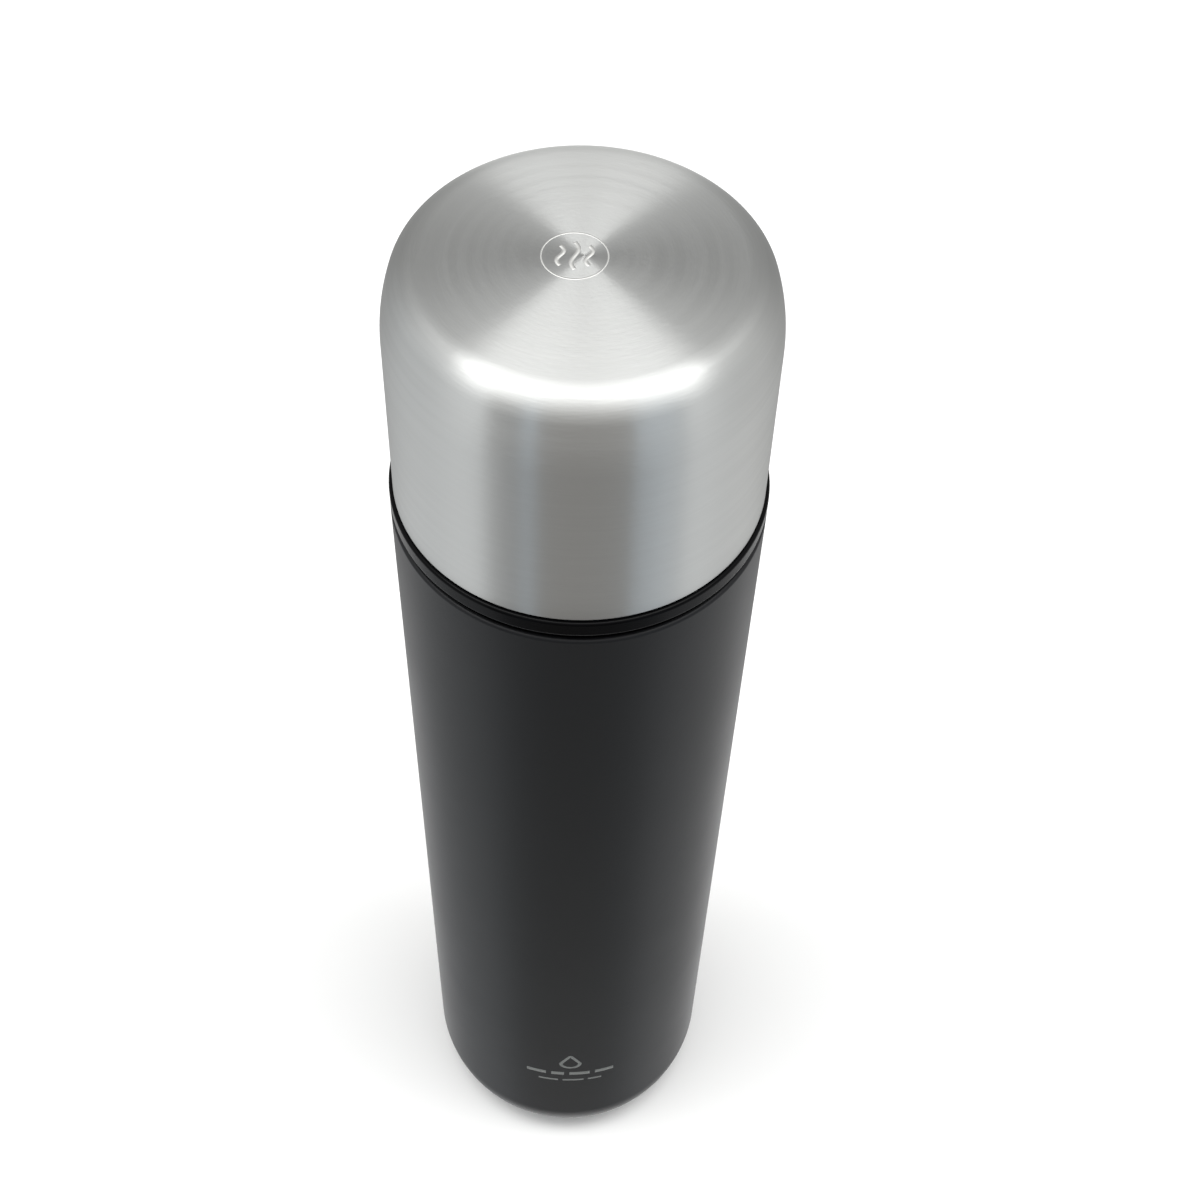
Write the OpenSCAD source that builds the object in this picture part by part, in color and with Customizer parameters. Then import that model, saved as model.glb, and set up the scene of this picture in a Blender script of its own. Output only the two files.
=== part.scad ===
// Vacuum flask with a screw-on drinking cup and a push-button pouring stopper.
// Origin: centre of the foot ring, on the surface that the flask stands on. +Z runs up its axis.

/* [Flask body] */
// Outside diameter of the painted body
body_d = 72; // [68:1:80]
// Height of the body up to its shoulder
body_h = 237; // [200:1:280]
// Sheet thickness of the outer shell
shell_t = 0.6; // [0.5:0.1:0.8]
// Sheet thickness of the inner bottle
liner_t = 0.6; // [0.5:0.1:0.8]
// Gap between the two steel walls
vacuum_gap = 2.4; // [2:0.1:3]
// Radius of the long curve at the foot of the wall
foot_curve_r = 24; // [18:1:28]
// Radius of the tighter curve under the foot
foot_corner_r = 9; // [7:0.5:12]
// Angle at which the long curve gives way to the tighter one
foot_break = 25; // [15:1:35]

/* [Neck and collar] */
// Inside diameter of the bottle's neck
neck_d = 46; // [44:1:48]
// Height of the mouth above the body's shoulder
neck_h = 18; // [17:0.5:20]
// Height of the visible rim of the collar
rim_h = 3.6; // [3:0.1:5]
// Height of the shadow groove between the shell and the rim
groove_h = 1.5; // [0.8:0.1:2]
// Outside diameter of the collar's threaded sleeve
sleeve_d = 58.8; // [58:0.2:60]

/* [Screw threads] */
// Rise in one turn, the same for stopper and cup
thread_lead = 12; // [10:0.5:14]
// Width of a thread ridge at its root
ridge_root = 1.8; // [1.4:0.1:2]
// Width of a thread ridge at its crest
ridge_crest = 1; // [0.8:0.1:1.2]
// Clearance round every thread
thread_gap = 0.3; // [0.25:0.05:0.4]

/* [Cup] */
// Height of the cup from the collar's rim to the top of its crown
cup_h = 54.2; // [50:0.1:60]
// Outside diameter at the cup's rim
cup_rim_d = 70.4; // [68:0.2:72]
// Outside diameter where the cup's shoulder begins
cup_upper_d = 69.7; // [68:0.1:72]
// Radius of the long curve of the cup's shoulder
cup_shoulder_r = 39.7; // [30:0.1:45]
// Angle at which the shoulder gives way to the top corner
cup_break = 17.2; // [12:0.1:22]
// Radius of the top corner
cup_corner_r = 6.4; // [5:0.1:8]
// Crown height of the spun top
cup_dome = 0.95; // [0.4:0.05:1.2]
// Sheet thickness of the cup
cup_t = 0.6; // [0.5:0.1:0.7]

/* [Stopper] */
// Outside diameter of the stopper's grip
grip_d = 54.4; // [53:0.2:55]
// Outside diameter of the stopper's plug
plug_d = 42.8; // [42:0.1:43]
// Diameter of the push button
button_d = 29.2; // [27:0.2:30]
// Travel of the push button
button_travel = 3.5; // [3:0.1:3.6]
// Travel of each release tab
tab_travel = 1.5; // [1:0.1:1.6]
// Number of grip flutes round the stopper
flutes = 36; // [24:2:48]

/* [Hidden] */
$fn = 96;
arc_steps = 10;
touch = 0.05;

body_r = body_d / 2;
foot_r = body_r - foot_curve_r * (1 - cos(foot_break)) - foot_corner_r * cos(foot_break);
foot_top = foot_curve_r * sin(foot_break) + foot_corner_r * (1 - sin(foot_break));
foot_lip = 2.1;
base_z = 2.4;
shoulder_corner = 0.7;
groove_depth = 1.2;

liner_r = body_r - shell_t - vacuum_gap;
liner_lift = 2.7;
liner_shoulder_r = 8;
liner_neck_curve = 5;
neck_r = neck_d / 2;
neck_outer = neck_r + liner_t + 1.6;
liner_weld_z = 30;
lip_h = 1.2;
mouth_z = body_h + neck_h;

sleeve_r = sleeve_d / 2;
rim_r = body_r - 0.05;
rim_top = body_h + groove_h + rim_h;
sleeve_top = mouth_z - 1.5;
ridge_h = 1.3;
ridge_bite = 0.25;
starts = 2;
flank_shift = ridge_root + 0.4;

cup_rim_z = rim_top + 0.25;
cup_top = rim_top + cup_h;
cup_rim_r = cup_rim_d / 2;
cup_upper_r = cup_upper_d / 2;
ring_bore = sleeve_r + ridge_h + thread_gap;
ring_top = mouth_z + 2;
cup_seal_h = 1.5;
bowl_r = 30.8;
bowl_floor = cup_top - 6;
bowl_corner = 8;

grip_r = grip_d / 2;
grip_wall = 2.4;
plug_r = plug_d / 2;
plug_wall = 1.8;
gasket_h = 1.8;
housing_z = mouth_z + gasket_h + 0.15;
plug_bottom = mouth_z - 26;
chamber_floor = housing_z + 1.65;
deck_z = chamber_floor + 6.4;
deck_t = 1.6;
housing_top = deck_z + 8.4;
cover_h = 2.2;
seat_r = 14.5;
button_r = button_d / 2;
button_top = housing_top + 5.2;
button_roof = 2;
button_flange_r = button_r + 1.2;
stem_r = 3;
boss_r = 6.5;
disc_r = 17;
disc_t = 2;
valve_gasket_h = 1.45;
spring_r = 7;
spring_wire = 0.6;
spring_turns = 4;
tab_half = 5.8;
tab_z = deck_z + deck_t + 1.3;
tab_h = 4.4;

STEEL = "lightsteelblue";
PAINT = [0.16, 0.17, 0.18];
BLACK = [0.07, 0.07, 0.08];
RUBBER = [0.75, 0.75, 0.72];

// Points on a round stretch of an outline, from angle a to angle b
function arc(c, r, a, b, n = arc_steps) =
    [for (i = [0:n]) c + r * [cos(a + (b - a) * i / n), sin(a + (b - a) * i / n)]];

// A list in reverse order
function back(p) = [for (i = [len(p) - 1:-1:0]) p[i]];

// The foot of the body, set in by t from its outside, from the flat foot to the straight wall
function foot_line(t) =
    let (corner = [foot_r, foot_corner_r],
         curve = [body_r - foot_curve_r, foot_top])
    concat(
        arc(corner, foot_corner_r - t, -90, -foot_break),
        arc(curve, foot_curve_r - t, -foot_break, 0));

// The same foot lifted to make the bottom of the inner bottle
function liner_foot(t) = [for (p = foot_line(body_r - liner_r + t)) p + [0, liner_lift]];

// The inner bottle's shoulder and neck, set in by t from its vacuum side
function liner_neck(t) =
    let (turn = acos(1 - (liner_r - neck_r - liner_t) / (liner_shoulder_r + liner_neck_curve)),
         rise = (liner_shoulder_r + liner_neck_curve) * sin(turn),
         low = body_h - 4.5 - rise,
         a = [liner_r - liner_shoulder_r, low],
         b = [neck_r + liner_t + liner_neck_curve, low + rise])
    concat(
        arc(a, liner_shoulder_r - t, 0, turn),
        arc(b, liner_neck_curve + t, 180 + turn, 180));

// The cup's outside from its rim to its crown, set in by t. The crown is a parabola that leaves the corner's arc
// along its tangent.
function cup_line(t) =
    let (corner_w = cup_corner_r * cos(cup_break),
         shoulder_w = cup_shoulder_r * (1 - cos(cup_break)),
         flat_r = cup_upper_r - shoulder_w - corner_w,
         tilt = atan(2 * cup_dome / flat_r),
         crown_r = flat_r + cup_corner_r * sin(tilt),
         crown_rise = crown_r * tan(tilt) / 2,
         corner = [flat_r, cup_top - crown_rise - cup_corner_r * cos(tilt)],
         shoulder_z = corner[1] + cup_corner_r * sin(cup_break) - cup_shoulder_r * sin(cup_break),
         shoulder = [cup_upper_r - cup_shoulder_r, shoulder_z],
         edge = corner + (cup_corner_r - t) * [sin(tilt), cos(tilt)],
         inner_rise = edge[0] * tan(tilt) / 2)
    concat(
        [[cup_rim_r - t, cup_rim_z]],
        arc(shoulder, cup_shoulder_r - t, 0, cup_break),
        arc(corner, cup_corner_r - t, cup_break, 90 - tilt),
        [for (i = [1:6]) [edge[0] * (1 - i / 6), edge[1] + inner_rise * (1 - pow(1 - i / 6, 2))]]);

// A ring of rectangular section
module ring(inner, outer, low, high) {
    translate([0, 0, low])
    difference() {
        cylinder(r = outer, h = high - low);
        translate([0, 0, -1]) cylinder(r = inner, h = high - low + 2);
    }
}

// A solid turned from an outline of [radius, height] points
module turned(points) {
    rotate_extrude() polygon(points);
}

// One helical ridge: root and crest radii, height of its first end, first angle and turns.
// Its ends taper into the wall so that the threads start easily.
module ridge(root, crest, low, first, turns) {
    n = ceil(turns * 32);
    points = [for (i = [0:n])
        let (a = first + 360 * turns * i / n,
             z = low + thread_lead * turns * i / n,
             grow = min(1, 0.1 + 0.45 * min(i, n - i)),
             tip = root + (crest - root) * grow)
        each [[root, -ridge_root / 2], [tip, -ridge_crest / 2], [tip, ridge_crest / 2], [root, ridge_root / 2]]
            * [[cos(a), sin(a), 0], [0, 0, 1]] + [for (k = [0:3]) [0, 0, z]]];
    outward = crest > root;
    sides = [for (i = [0:n - 1], k = [0:3])
        let (p = 4 * i + k, q = 4 * i + (k + 1) % 4)
        each [[p, q, p + 4], [q, q + 4, p + 4]]];
    ends = [[0, 2, 1], [0, 3, 2], [4 * n, 4 * n + 1, 4 * n + 2], [4 * n, 4 * n + 2, 4 * n + 3]];
    faces = concat(sides, ends);
    polyhedron(points, outward ? faces : [for (f = faces) [f[0], f[2], f[1]]]);
}

// Every start of a thread
module thread(root, crest, low, turns) {
    for (k = [0:starts - 1])
        ridge(root, crest, low, 360 * k / starts, turns);
}

module outer_shell() {
    top = body_h;
    wall = concat(
        [[foot_r - foot_lip, 0]],
        foot_line(0),
        arc([body_r - shoulder_corner, top - shoulder_corner], shoulder_corner, 0, 90, 6),
        [[neck_outer, top], [neck_outer, mouth_z - lip_h]]);
    inside = concat(
        [[foot_r - foot_lip, base_z + shell_t], [foot_r - foot_lip + shell_t, base_z + shell_t]],
        [[foot_r - foot_lip + shell_t, shell_t]],
        foot_line(shell_t),
        arc([body_r - shoulder_corner, top - shoulder_corner], shoulder_corner - shell_t, 0, 90, 6),
        [[neck_outer - shell_t, top - shell_t], [neck_outer - shell_t, mouth_z - lip_h]]);
    color(PAINT) turned(concat(wall, back(inside)));
}

module outer_base() {
    port_r = 1.5;
    dimple_r = 6;
    edge = foot_r - foot_lip - touch;
    color(STEEL) turned([
        [port_r, base_z + 0.5], [dimple_r, base_z + 0.5], [dimple_r + 1.5, base_z], [edge, base_z],
        [edge, base_z + shell_t], [dimple_r + 1.5, base_z + shell_t],
        [dimple_r, base_z + 0.5 + shell_t], [port_r, base_z + 0.5 + shell_t]]);
}

module base_cover() {
    edge = foot_r - foot_lip - 0.15;
    color(STEEL) turned([
        [0, 1], [edge - 3, 1], [edge - 2.4, 0.7], [edge, 0.7], [edge, 1.3], [edge - 2, 1.3],
        [edge - 2.6, 1.6], [0, 1.6]]);
}

module vacuum_seal() {
    color("dimgray") {
        turned(concat(
            [[0, base_z + 0.5 - touch], [0, base_z - 0.3]],
            arc([2.6, base_z + 0.25], 0.55, -90, 0, 5),
            [[3.15, base_z + 0.5 - touch]]));
    }
}

module getter() {
    color("gray") translate([13, 0, base_z + shell_t + touch]) cylinder(r = 4, h = 1.8);
}

module inner_bottle() {
    lip_r = neck_outer;
    flare = [[neck_r + liner_t, mouth_z - lip_h], [lip_r, mouth_z - lip_h]];
    wall = concat(
        [[liner_r, liner_weld_z]],
        liner_neck(0),
        flare,
        arc([lip_r - 0.5, mouth_z - 0.5], 0.5, 0, 90, 4),
        arc([neck_r + 0.5, mouth_z - 0.5], 0.5, 90, 180, 4),
        back(liner_neck(liner_t)),
        [[liner_r - liner_t, liner_weld_z]]);
    color(STEEL) union() {
        turned(wall);
        thread(neck_r + ridge_bite, plug_r + thread_gap, mouth_z - 16 + flank_shift, 0.6);
    }
}

module inner_base() {
    color(STEEL) turned(concat(
        [[0, liner_foot(0)[0][1]]],
        liner_foot(0),
        [[liner_r, liner_weld_z - touch], [liner_r - liner_t, liner_weld_z - touch]],
        back(liner_foot(liner_t)),
        [[0, liner_foot(liner_t)[0][1]]]));
}

module copper_foil() {
    color("peru") ring(liner_r + touch, liner_r + 0.2, liner_weld_z + 3, body_h - 20);
}

module collar() {
    skirt = body_r - groove_depth;
    bore = neck_outer + touch;
    edge = 0.6;
    color(BLACK) union() {
        turned(concat(
            [[bore, body_h + touch], [skirt, body_h + touch], [skirt, body_h + groove_h]],
            arc([rim_r - edge, body_h + groove_h + edge], edge, -90, 0, 4),
            arc([rim_r - edge, rim_top - edge], edge, 0, 90, 4),
            [[sleeve_r, rim_top], [sleeve_r, sleeve_top - 0.6], [sleeve_r - 0.6, sleeve_top],
             [bore, sleeve_top]]));
        thread(sleeve_r - ridge_bite, sleeve_r + ridge_h, rim_top + 3.6, 0.55);
    }
}

module neck_gasket() {
    inner = plug_r + 0.3;
    outer = neck_outer + 0.4;
    low = mouth_z + 0.1;
    color(RUBBER) turned(concat(
        arc([outer - 0.6, low + 0.6], 0.6, -90, 0, 4),
        arc([outer - 0.6, low + gasket_h - 0.6], 0.6, 0, 90, 4),
        [[inner, low + gasket_h], [inner, low]]));
}

module stopper_plug() {
    bore = plug_r - plug_wall;
    color(BLACK) union() {
        turned([
            [seat_r, plug_bottom], [plug_r - 2, plug_bottom], [plug_r, plug_bottom + 2], [plug_r, chamber_floor],
            [bore, chamber_floor], [bore, plug_bottom + 4], [bore - 2, plug_bottom + 2], [seat_r, plug_bottom + 2]]);
        thread(plug_r - ridge_bite, neck_r - thread_gap, mouth_z - 16, 0.6);
    }
}

module stopper_housing() {
    bore = grip_r - grip_wall;
    floor_bore = plug_r + touch;
    deck_top = deck_z + deck_t;
    seal_low = deck_z - 2.6;
    seal_r = stem_r + 1.7;
    window_w = 16;
    window_h = 5;
    color(BLACK) difference() {
        turned([
            [floor_bore, housing_z], [grip_r - 0.8, housing_z], [grip_r, housing_z + 0.8], [grip_r, housing_top],
            [bore, housing_top], [bore, deck_top], [stem_r + touch, deck_top], [stem_r + touch, seal_low + 1.8],
            [seal_r, seal_low + 1.8], [seal_r, seal_low], [stem_r + touch, seal_low],
            [stem_r + touch, deck_z - 3.6], [boss_r, deck_z - 3.6], [boss_r, deck_z], [bore, deck_z],
            [bore, chamber_floor], [floor_bore, chamber_floor]]);
        // Pour windows, front and back
        for (side = [-1, 1])
            translate([0, side * grip_r, chamber_floor + 0.5 + window_h / 2])
                cube([window_w, 2 * grip_wall + 4, window_h], center = true);
        // Slots for the release tabs
        for (side = [-1, 1])
            translate([side * grip_r, 0, tab_z + tab_h / 2])
                cube([2 * grip_wall + 3, 2 * tab_half + 0.6, tab_h + 0.6], center = true);
        // Grip flutes
        for (i = [0:flutes - 1])
            rotate(360 * (i + 0.5) / flutes) translate([grip_r + 1, 0, housing_z + 1.8])
                cylinder(r = 1.6, h = 30, $fn = 32);
    }
}

module stopper_cover() {
    hole = button_r + 0.4;
    low = housing_top + touch;
    edge = 1.2;
    color(BLACK) turned(concat(
        [[hole, low], [grip_r - 0.6, low]],
        arc([grip_r - 0.6 - edge, low + cover_h - edge], edge, 0, 90, 5),
        [[hole + 0.5, low + cover_h], [hole, low + cover_h - 0.5]]));
}

// A release tab on the +X side: a wide block behind the wall and a thumb pad through it
module release_tab() {
    wall_bore = grip_r - grip_wall;
    wide = 8;
    shoulder_x = sqrt(pow(wall_bore, 2) - pow(wide, 2)) - 0.3;
    color(BLACK) translate([0, 0, tab_z]) union() {
        translate([button_flange_r + 2, -wide, 0]) cube([shoulder_x - button_flange_r - 2, 2 * wide, tab_h]);
        intersection() {
            translate([shoulder_x - 1, -tab_half, 0]) cube([10, 2 * tab_half, tab_h]);
            cylinder(r = grip_r + 0.6, h = tab_h);
        }
    }
}

module release_tab_left() {
    rotate(180) release_tab();
}

module release_tab_right() {
    release_tab();
}

module press_button() {
    low = deck_z + deck_t + button_travel + 0.2;
    skirt = button_r - 1.8;
    stop_z = housing_top - 0.05;
    dish = 0.8;
    roof = button_top - button_roof;
    color("gray") turned(concat(
        [[skirt, low], [button_r, low], [button_r, stop_z - 1.5], [button_flange_r, stop_z - 1.5],
         [button_flange_r, stop_z], [button_r, stop_z]],
        arc([button_r - 1, button_top - 1], 1, 0, 90, 5),
        [[button_r - 2.5, button_top], [button_r - 6, button_top - dish * 0.8], [0, button_top - dish],
         [0, roof - 0.2], [stem_r + touch, roof - 0.2], [stem_r + touch, roof - 5], [stem_r + 1.8, roof - 5],
         [stem_r + 1.8, roof], [skirt, roof]]));
}

module valve_stem() {
    top = button_top - button_roof - 0.2 - touch;
    low = plug_bottom - 6;
    color(STEEL) translate([0, 0, low]) cylinder(r = stem_r, h = top - low);
}

module stem_seal() {
    color("firebrick") translate([0, 0, deck_z - 1.7])
        rotate_extrude() translate([stem_r + 0.85, 0]) circle(r = 0.75, $fn = 24);
}

// A helical compression spring between the deck and the button's roof
module valve_spring() {
    low = deck_z + deck_t + spring_wire + touch;
    high = button_top - button_roof - spring_wire - touch;
    steps = 18;
    sides = 6;
    n = spring_turns * steps;
    points = [for (i = [0:n], k = [0:sides - 1])
        let (a = 360 * i / steps,
             b = 360 * k / sides,
             r = spring_r + spring_wire * cos(b))
        [r * cos(a), r * sin(a), low + (high - low) * i / n + spring_wire * sin(b)]];
    wall = [for (i = [0:n - 1], k = [0:sides - 1])
        let (p = sides * i + k, q = sides * i + (k + 1) % sides)
        each [[p, q, p + sides], [q, q + sides, p + sides]]];
    ends = [for (k = [1:sides - 2])
        each [[0, k + 1, k], [sides * n, sides * n + k, sides * n + k + 1]]];
    color("silver") polyhedron(points, concat(wall, ends));
}

module valve_disc() {
    top = plug_bottom - 0.1 - valve_gasket_h;
    bore = stem_r + touch;
    hub = stem_r + 2.5;
    color(BLACK) turned([
        [bore, top - disc_t - 3], [hub, top - disc_t - 3], [hub, top - disc_t], [disc_r - 0.8, top - disc_t],
        [disc_r, top - disc_t + 0.8], [disc_r, top - touch], [bore, top - touch]]);
}

module valve_gasket() {
    top = plug_bottom - 0.1;
    color(RUBBER) ring(seat_r - 1.5, disc_r - 0.4, top - valve_gasket_h, top);
}

module cup_seal() {
    low = sleeve_top + 0.1;
    color(RUBBER) ring(grip_r + 1, ring_bore - 0.3, low, low + cup_seal_h);
}

module cup_thread_ring() {
    outer = cup_rim_r - cup_t - 0.25;
    low = cup_rim_z + 0.2;
    seat = sleeve_top + 0.1 + cup_seal_h + touch;
    lip = grip_r + 1.3;
    color(BLACK) union() {
        turned([
            [ring_bore + 0.4, low], [outer - 0.4, low], [outer, low + 0.4], [outer, ring_top], [lip, ring_top],
            [lip, seat], [ring_bore, seat], [ring_bore, low + 0.4]]);
        thread(ring_bore + ridge_bite, sleeve_r + thread_gap, rim_top + 3.6 - flank_shift, 0.55);
    }
}

module cup_liner() {
    floor_z = bowl_floor;
    flange_r = cup_rim_r - cup_t - 0.4;
    low = ring_top + touch;
    corner = [bowl_r - bowl_corner, floor_z - bowl_corner];
    color(STEEL) turned(concat(
        [[bowl_r, low], [flange_r, low], [flange_r, low + liner_t], [bowl_r + liner_t, low + liner_t]],
        arc(corner, bowl_corner + liner_t, 0, 90),
        [[0, floor_z + liner_t], [0, floor_z]],
        back(arc(corner, bowl_corner, 0, 90))));
}

module cup_shell() {
    color(STEEL) turned(concat(cup_line(0), back(cup_line(cup_t))));
}

outer_shell();
outer_base();
base_cover();
vacuum_seal();
getter();
inner_bottle();
inner_base();
copper_foil();
collar();
neck_gasket();
stopper_plug();
stopper_housing();
stopper_cover();
release_tab_left();
release_tab_right();
press_button();
valve_stem();
stem_seal();
valve_spring();
valve_disc();
valve_gasket();
cup_seal();
cup_thread_ring();
cup_liner();
cup_shell();
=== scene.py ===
"""Looks of a slim vacuum flask with a screw-on steel cup and a push-button stopper.

Every length is in millimetres and is turned to metres when a mesh is made. Most pieces are turned shapes:
an outline of (radius, height) points carried round the Z axis, with helical threads raised on it where needed.
"""

import logging
import math
from dataclasses import dataclass, field
from enum import Enum
from typing import Callable, Optional, Sequence

import bpy
import numpy as np
from mathutils import Matrix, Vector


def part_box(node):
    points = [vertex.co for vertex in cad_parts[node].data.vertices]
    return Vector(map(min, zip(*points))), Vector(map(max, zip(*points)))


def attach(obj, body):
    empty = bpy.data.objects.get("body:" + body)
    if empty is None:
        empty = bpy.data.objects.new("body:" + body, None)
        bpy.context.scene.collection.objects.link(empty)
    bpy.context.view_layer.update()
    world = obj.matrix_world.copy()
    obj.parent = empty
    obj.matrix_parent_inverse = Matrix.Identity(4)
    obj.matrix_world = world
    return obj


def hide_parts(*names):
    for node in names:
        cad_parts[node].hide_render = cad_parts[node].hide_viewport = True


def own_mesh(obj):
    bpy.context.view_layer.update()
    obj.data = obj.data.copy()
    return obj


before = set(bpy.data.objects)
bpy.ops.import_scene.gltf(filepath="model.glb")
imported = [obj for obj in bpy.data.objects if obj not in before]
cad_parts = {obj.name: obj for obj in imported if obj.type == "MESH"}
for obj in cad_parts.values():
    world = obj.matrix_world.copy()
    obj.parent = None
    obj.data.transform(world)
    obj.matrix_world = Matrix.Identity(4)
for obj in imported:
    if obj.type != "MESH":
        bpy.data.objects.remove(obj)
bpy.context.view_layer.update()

MM = 0.001
LOG = logging.getLogger("flask")
Corner = tuple[float, float, float]
Layer = Callable[[np.ndarray, float], np.ndarray]
Shaper = Callable[[np.ndarray, np.ndarray, np.ndarray], tuple[np.ndarray, np.ndarray]]


# ---------------------------------------------------------------- outlines and surfaces


def arc(centre: tuple[float, float], radius: float, start: float, stop: float, steps: int = 12) -> np.ndarray:
    """Points on a round stretch of an outline.

    Formula: centre plus radius times the cosine and sine of evenly spaced angles.

    Args:
        centre: (radius, height) of the arc's centre.
        radius: Radius of the arc.
        start: First angle in degrees, from the outward direction towards +Z.
        stop: Last angle in degrees.
        steps: Number of stretches between the points.

    Returns:
        The points, one a row.
    """
    angles = np.radians(np.linspace(start, stop, steps + 1))
    return np.array(centre) + radius * np.stack([np.cos(angles), np.sin(angles)], axis=1)


def rounded(corners: Sequence[Corner], steps: int = 6, closed: bool = True) -> np.ndarray:
    """An outline of straight runs with rounded corners.

    Formula: at a corner with angle w between its two runs, the arc of radius f that touches both runs starts
    f / tan(w / 2) from the corner, and its centre lies on the bisector, f / sin(w / 2) from the corner.

    Args:
        corners: (radius, height, fillet) of each corner; a fillet of 0 keeps the corner sharp.
        steps: Number of stretches in each arc.
        closed: Whether the last corner joins the first; an open outline keeps its two ends as they are.

    Returns:
        The outline's points, one a row.
    """
    places = [np.array(c[:2], float) for c in corners]
    count = len(corners)
    out = []
    for i, (_, _, fillet) in enumerate(corners):
        here = places[i]
        if fillet <= 0 or (not closed and i in (0, count - 1)):
            out.append(here[None, :])
            continue
        before = places[i - 1] - here
        after = places[(i + 1) % count] - here
        before /= np.linalg.norm(before)
        after /= np.linalg.norm(after)
        angle = math.acos(float(np.clip(before @ after, -1, 1)))
        bisector = before + after
        bisector /= np.linalg.norm(bisector)
        centre = here + bisector * fillet / math.sin(angle / 2)
        first = (here + before * fillet / math.tan(angle / 2) - centre) / fillet
        last = (here + after * fillet / math.tan(angle / 2) - centre) / fillet
        sweep = math.pi - angle
        t = np.linspace(0, 1, steps + 1)[:, None]
        out.append(centre + fillet * (np.sin((1 - t) * sweep) * first + np.sin(t * sweep) * last) / math.sin(sweep))
    return np.concatenate(out)


def braced(outline: np.ndarray, closed: bool, brace: float = 0.1, longest: float = 4.0) -> np.ndarray:
    """Adds points near the ends of straight runs, so that smooth shading leaves the runs flat.

    Args:
        outline: The outline's points.
        closed: Whether the last point joins the first.
        brace: Distance of the added points from each end of a run.
        longest: Longest stretch left without a point.

    Returns:
        The outline with the added points.
    """
    pairs = zip(outline, np.roll(outline, -1, axis=0)) if closed else zip(outline[:-1], outline[1:])
    out = []
    for a, b in pairs:
        length = float(np.linalg.norm(b - a))
        places = [0.0]
        if length > 4 * brace:
            inner = max(1, math.ceil((length - 2 * brace) / longest))
            places += [brace / length + (1 - 2 * brace / length) * k / inner for k in range(inner + 1)]
        out.append(a + (b - a) * np.array(places)[:, None])
    if not closed:
        out.append(outline[-1:])
    return np.concatenate(out)


def make_piece(name: str, grid: np.ndarray, round_rows: bool, round_columns: bool = True) -> bpy.types.Object:
    """A mesh object from a grid of points, with its quads facing outwards.

    The rows run along an outline that goes anticlockwise seen with the axis on its left, and the columns run
    anticlockwise round the axis. A row whose points all meet becomes one point, which closes a pole.

    Args:
        name: Name of the piece.
        grid: Points in millimetres, rows by columns by 3.
        round_rows: Whether the last row joins the first.
        round_columns: Whether the last column joins the first.

    Returns:
        The object, at the origin.
    """
    rows, columns = grid.shape[:2]
    index = np.arange(rows * columns).reshape(rows, columns)
    poles = np.ptp(grid, axis=1).max(axis=1) < 1e-6
    index[poles] = index[poles, :1]
    if round_rows:
        index = np.vstack([index, index[:1]])
    if round_columns:
        index = np.hstack([index, index[:, :1]])
    quads = np.stack([index[:-1, :-1], index[:-1, 1:], index[1:, 1:], index[1:, :-1]], axis=-1).reshape(-1, 4)
    low_pole = quads[:, 0] == quads[:, 1]
    high_pole = quads[:, 2] == quads[:, 3]
    faces = quads[~(low_pole | high_pole)].tolist()
    faces += quads[low_pole & ~high_pole][:, [0, 2, 3]].tolist() + quads[high_pole & ~low_pole][:, :3].tolist()
    used, faces_flat = np.unique(np.concatenate([np.ravel(f) for f in faces]), return_inverse=True)
    sizes = np.array([len(f) for f in faces])
    starts = np.concatenate([[0], np.cumsum(sizes)[:-1]])
    mesh = bpy.data.meshes.new(name)
    mesh.vertices.add(len(used))
    mesh.vertices.foreach_set("co", (grid.reshape(-1, 3)[used] * MM).ravel())
    mesh.loops.add(len(faces_flat))
    mesh.loops.foreach_set("vertex_index", faces_flat)
    mesh.polygons.add(len(sizes))
    mesh.polygons.foreach_set("loop_start", starts)
    mesh.polygons.foreach_set("use_smooth", np.ones(len(sizes), bool))
    mesh.update(calc_edges=True)
    mesh.validate()
    piece = bpy.data.objects.new(name, mesh)
    bpy.context.scene.collection.objects.link(piece)
    return piece


def turned(name: str, outline: np.ndarray, closed: bool = True, columns: int = 192,
           shape: Optional[Shaper] = None) -> bpy.types.Object:
    """A turned piece: an outline carried once round the Z axis.

    Formula: x = r cos(a), y = r sin(a), z = z, for each outline point (r, z) and evenly spaced angles a; shape
    may change r and z from point to point.

    Args:
        name: Name of the piece.
        outline: (radius, height) points, anticlockwise with the axis on the left.
        closed: Whether the outline is a closed loop; an open one starts and ends on the axis.
        columns: Number of stretches round the axis.
        shape: Optional function of (radii, heights, angles) that returns new radii and heights.

    Returns:
        The object.
    """
    angles = np.linspace(0, 2 * np.pi, columns, endpoint=False)[None, :]
    radii = np.repeat(outline[:, :1], columns, axis=1)
    heights = np.repeat(outline[:, 1:], columns, axis=1)
    if shape is not None:
        radii, heights = shape(radii, heights, np.broadcast_to(angles, radii.shape))
    grid = np.stack([radii * np.cos(angles), radii * np.sin(angles), heights], axis=-1)
    return make_piece(name, grid, round_rows=closed)


def capped(grid: np.ndarray) -> np.ndarray:
    """A tube's grid with a point added in the middle of each end, which closes it."""
    ends = [np.broadcast_to(grid[k].mean(axis=0), (1,) + grid.shape[1:]) for k in (0, -1)]
    return np.concatenate([ends[0], grid, ends[1]])


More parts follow.
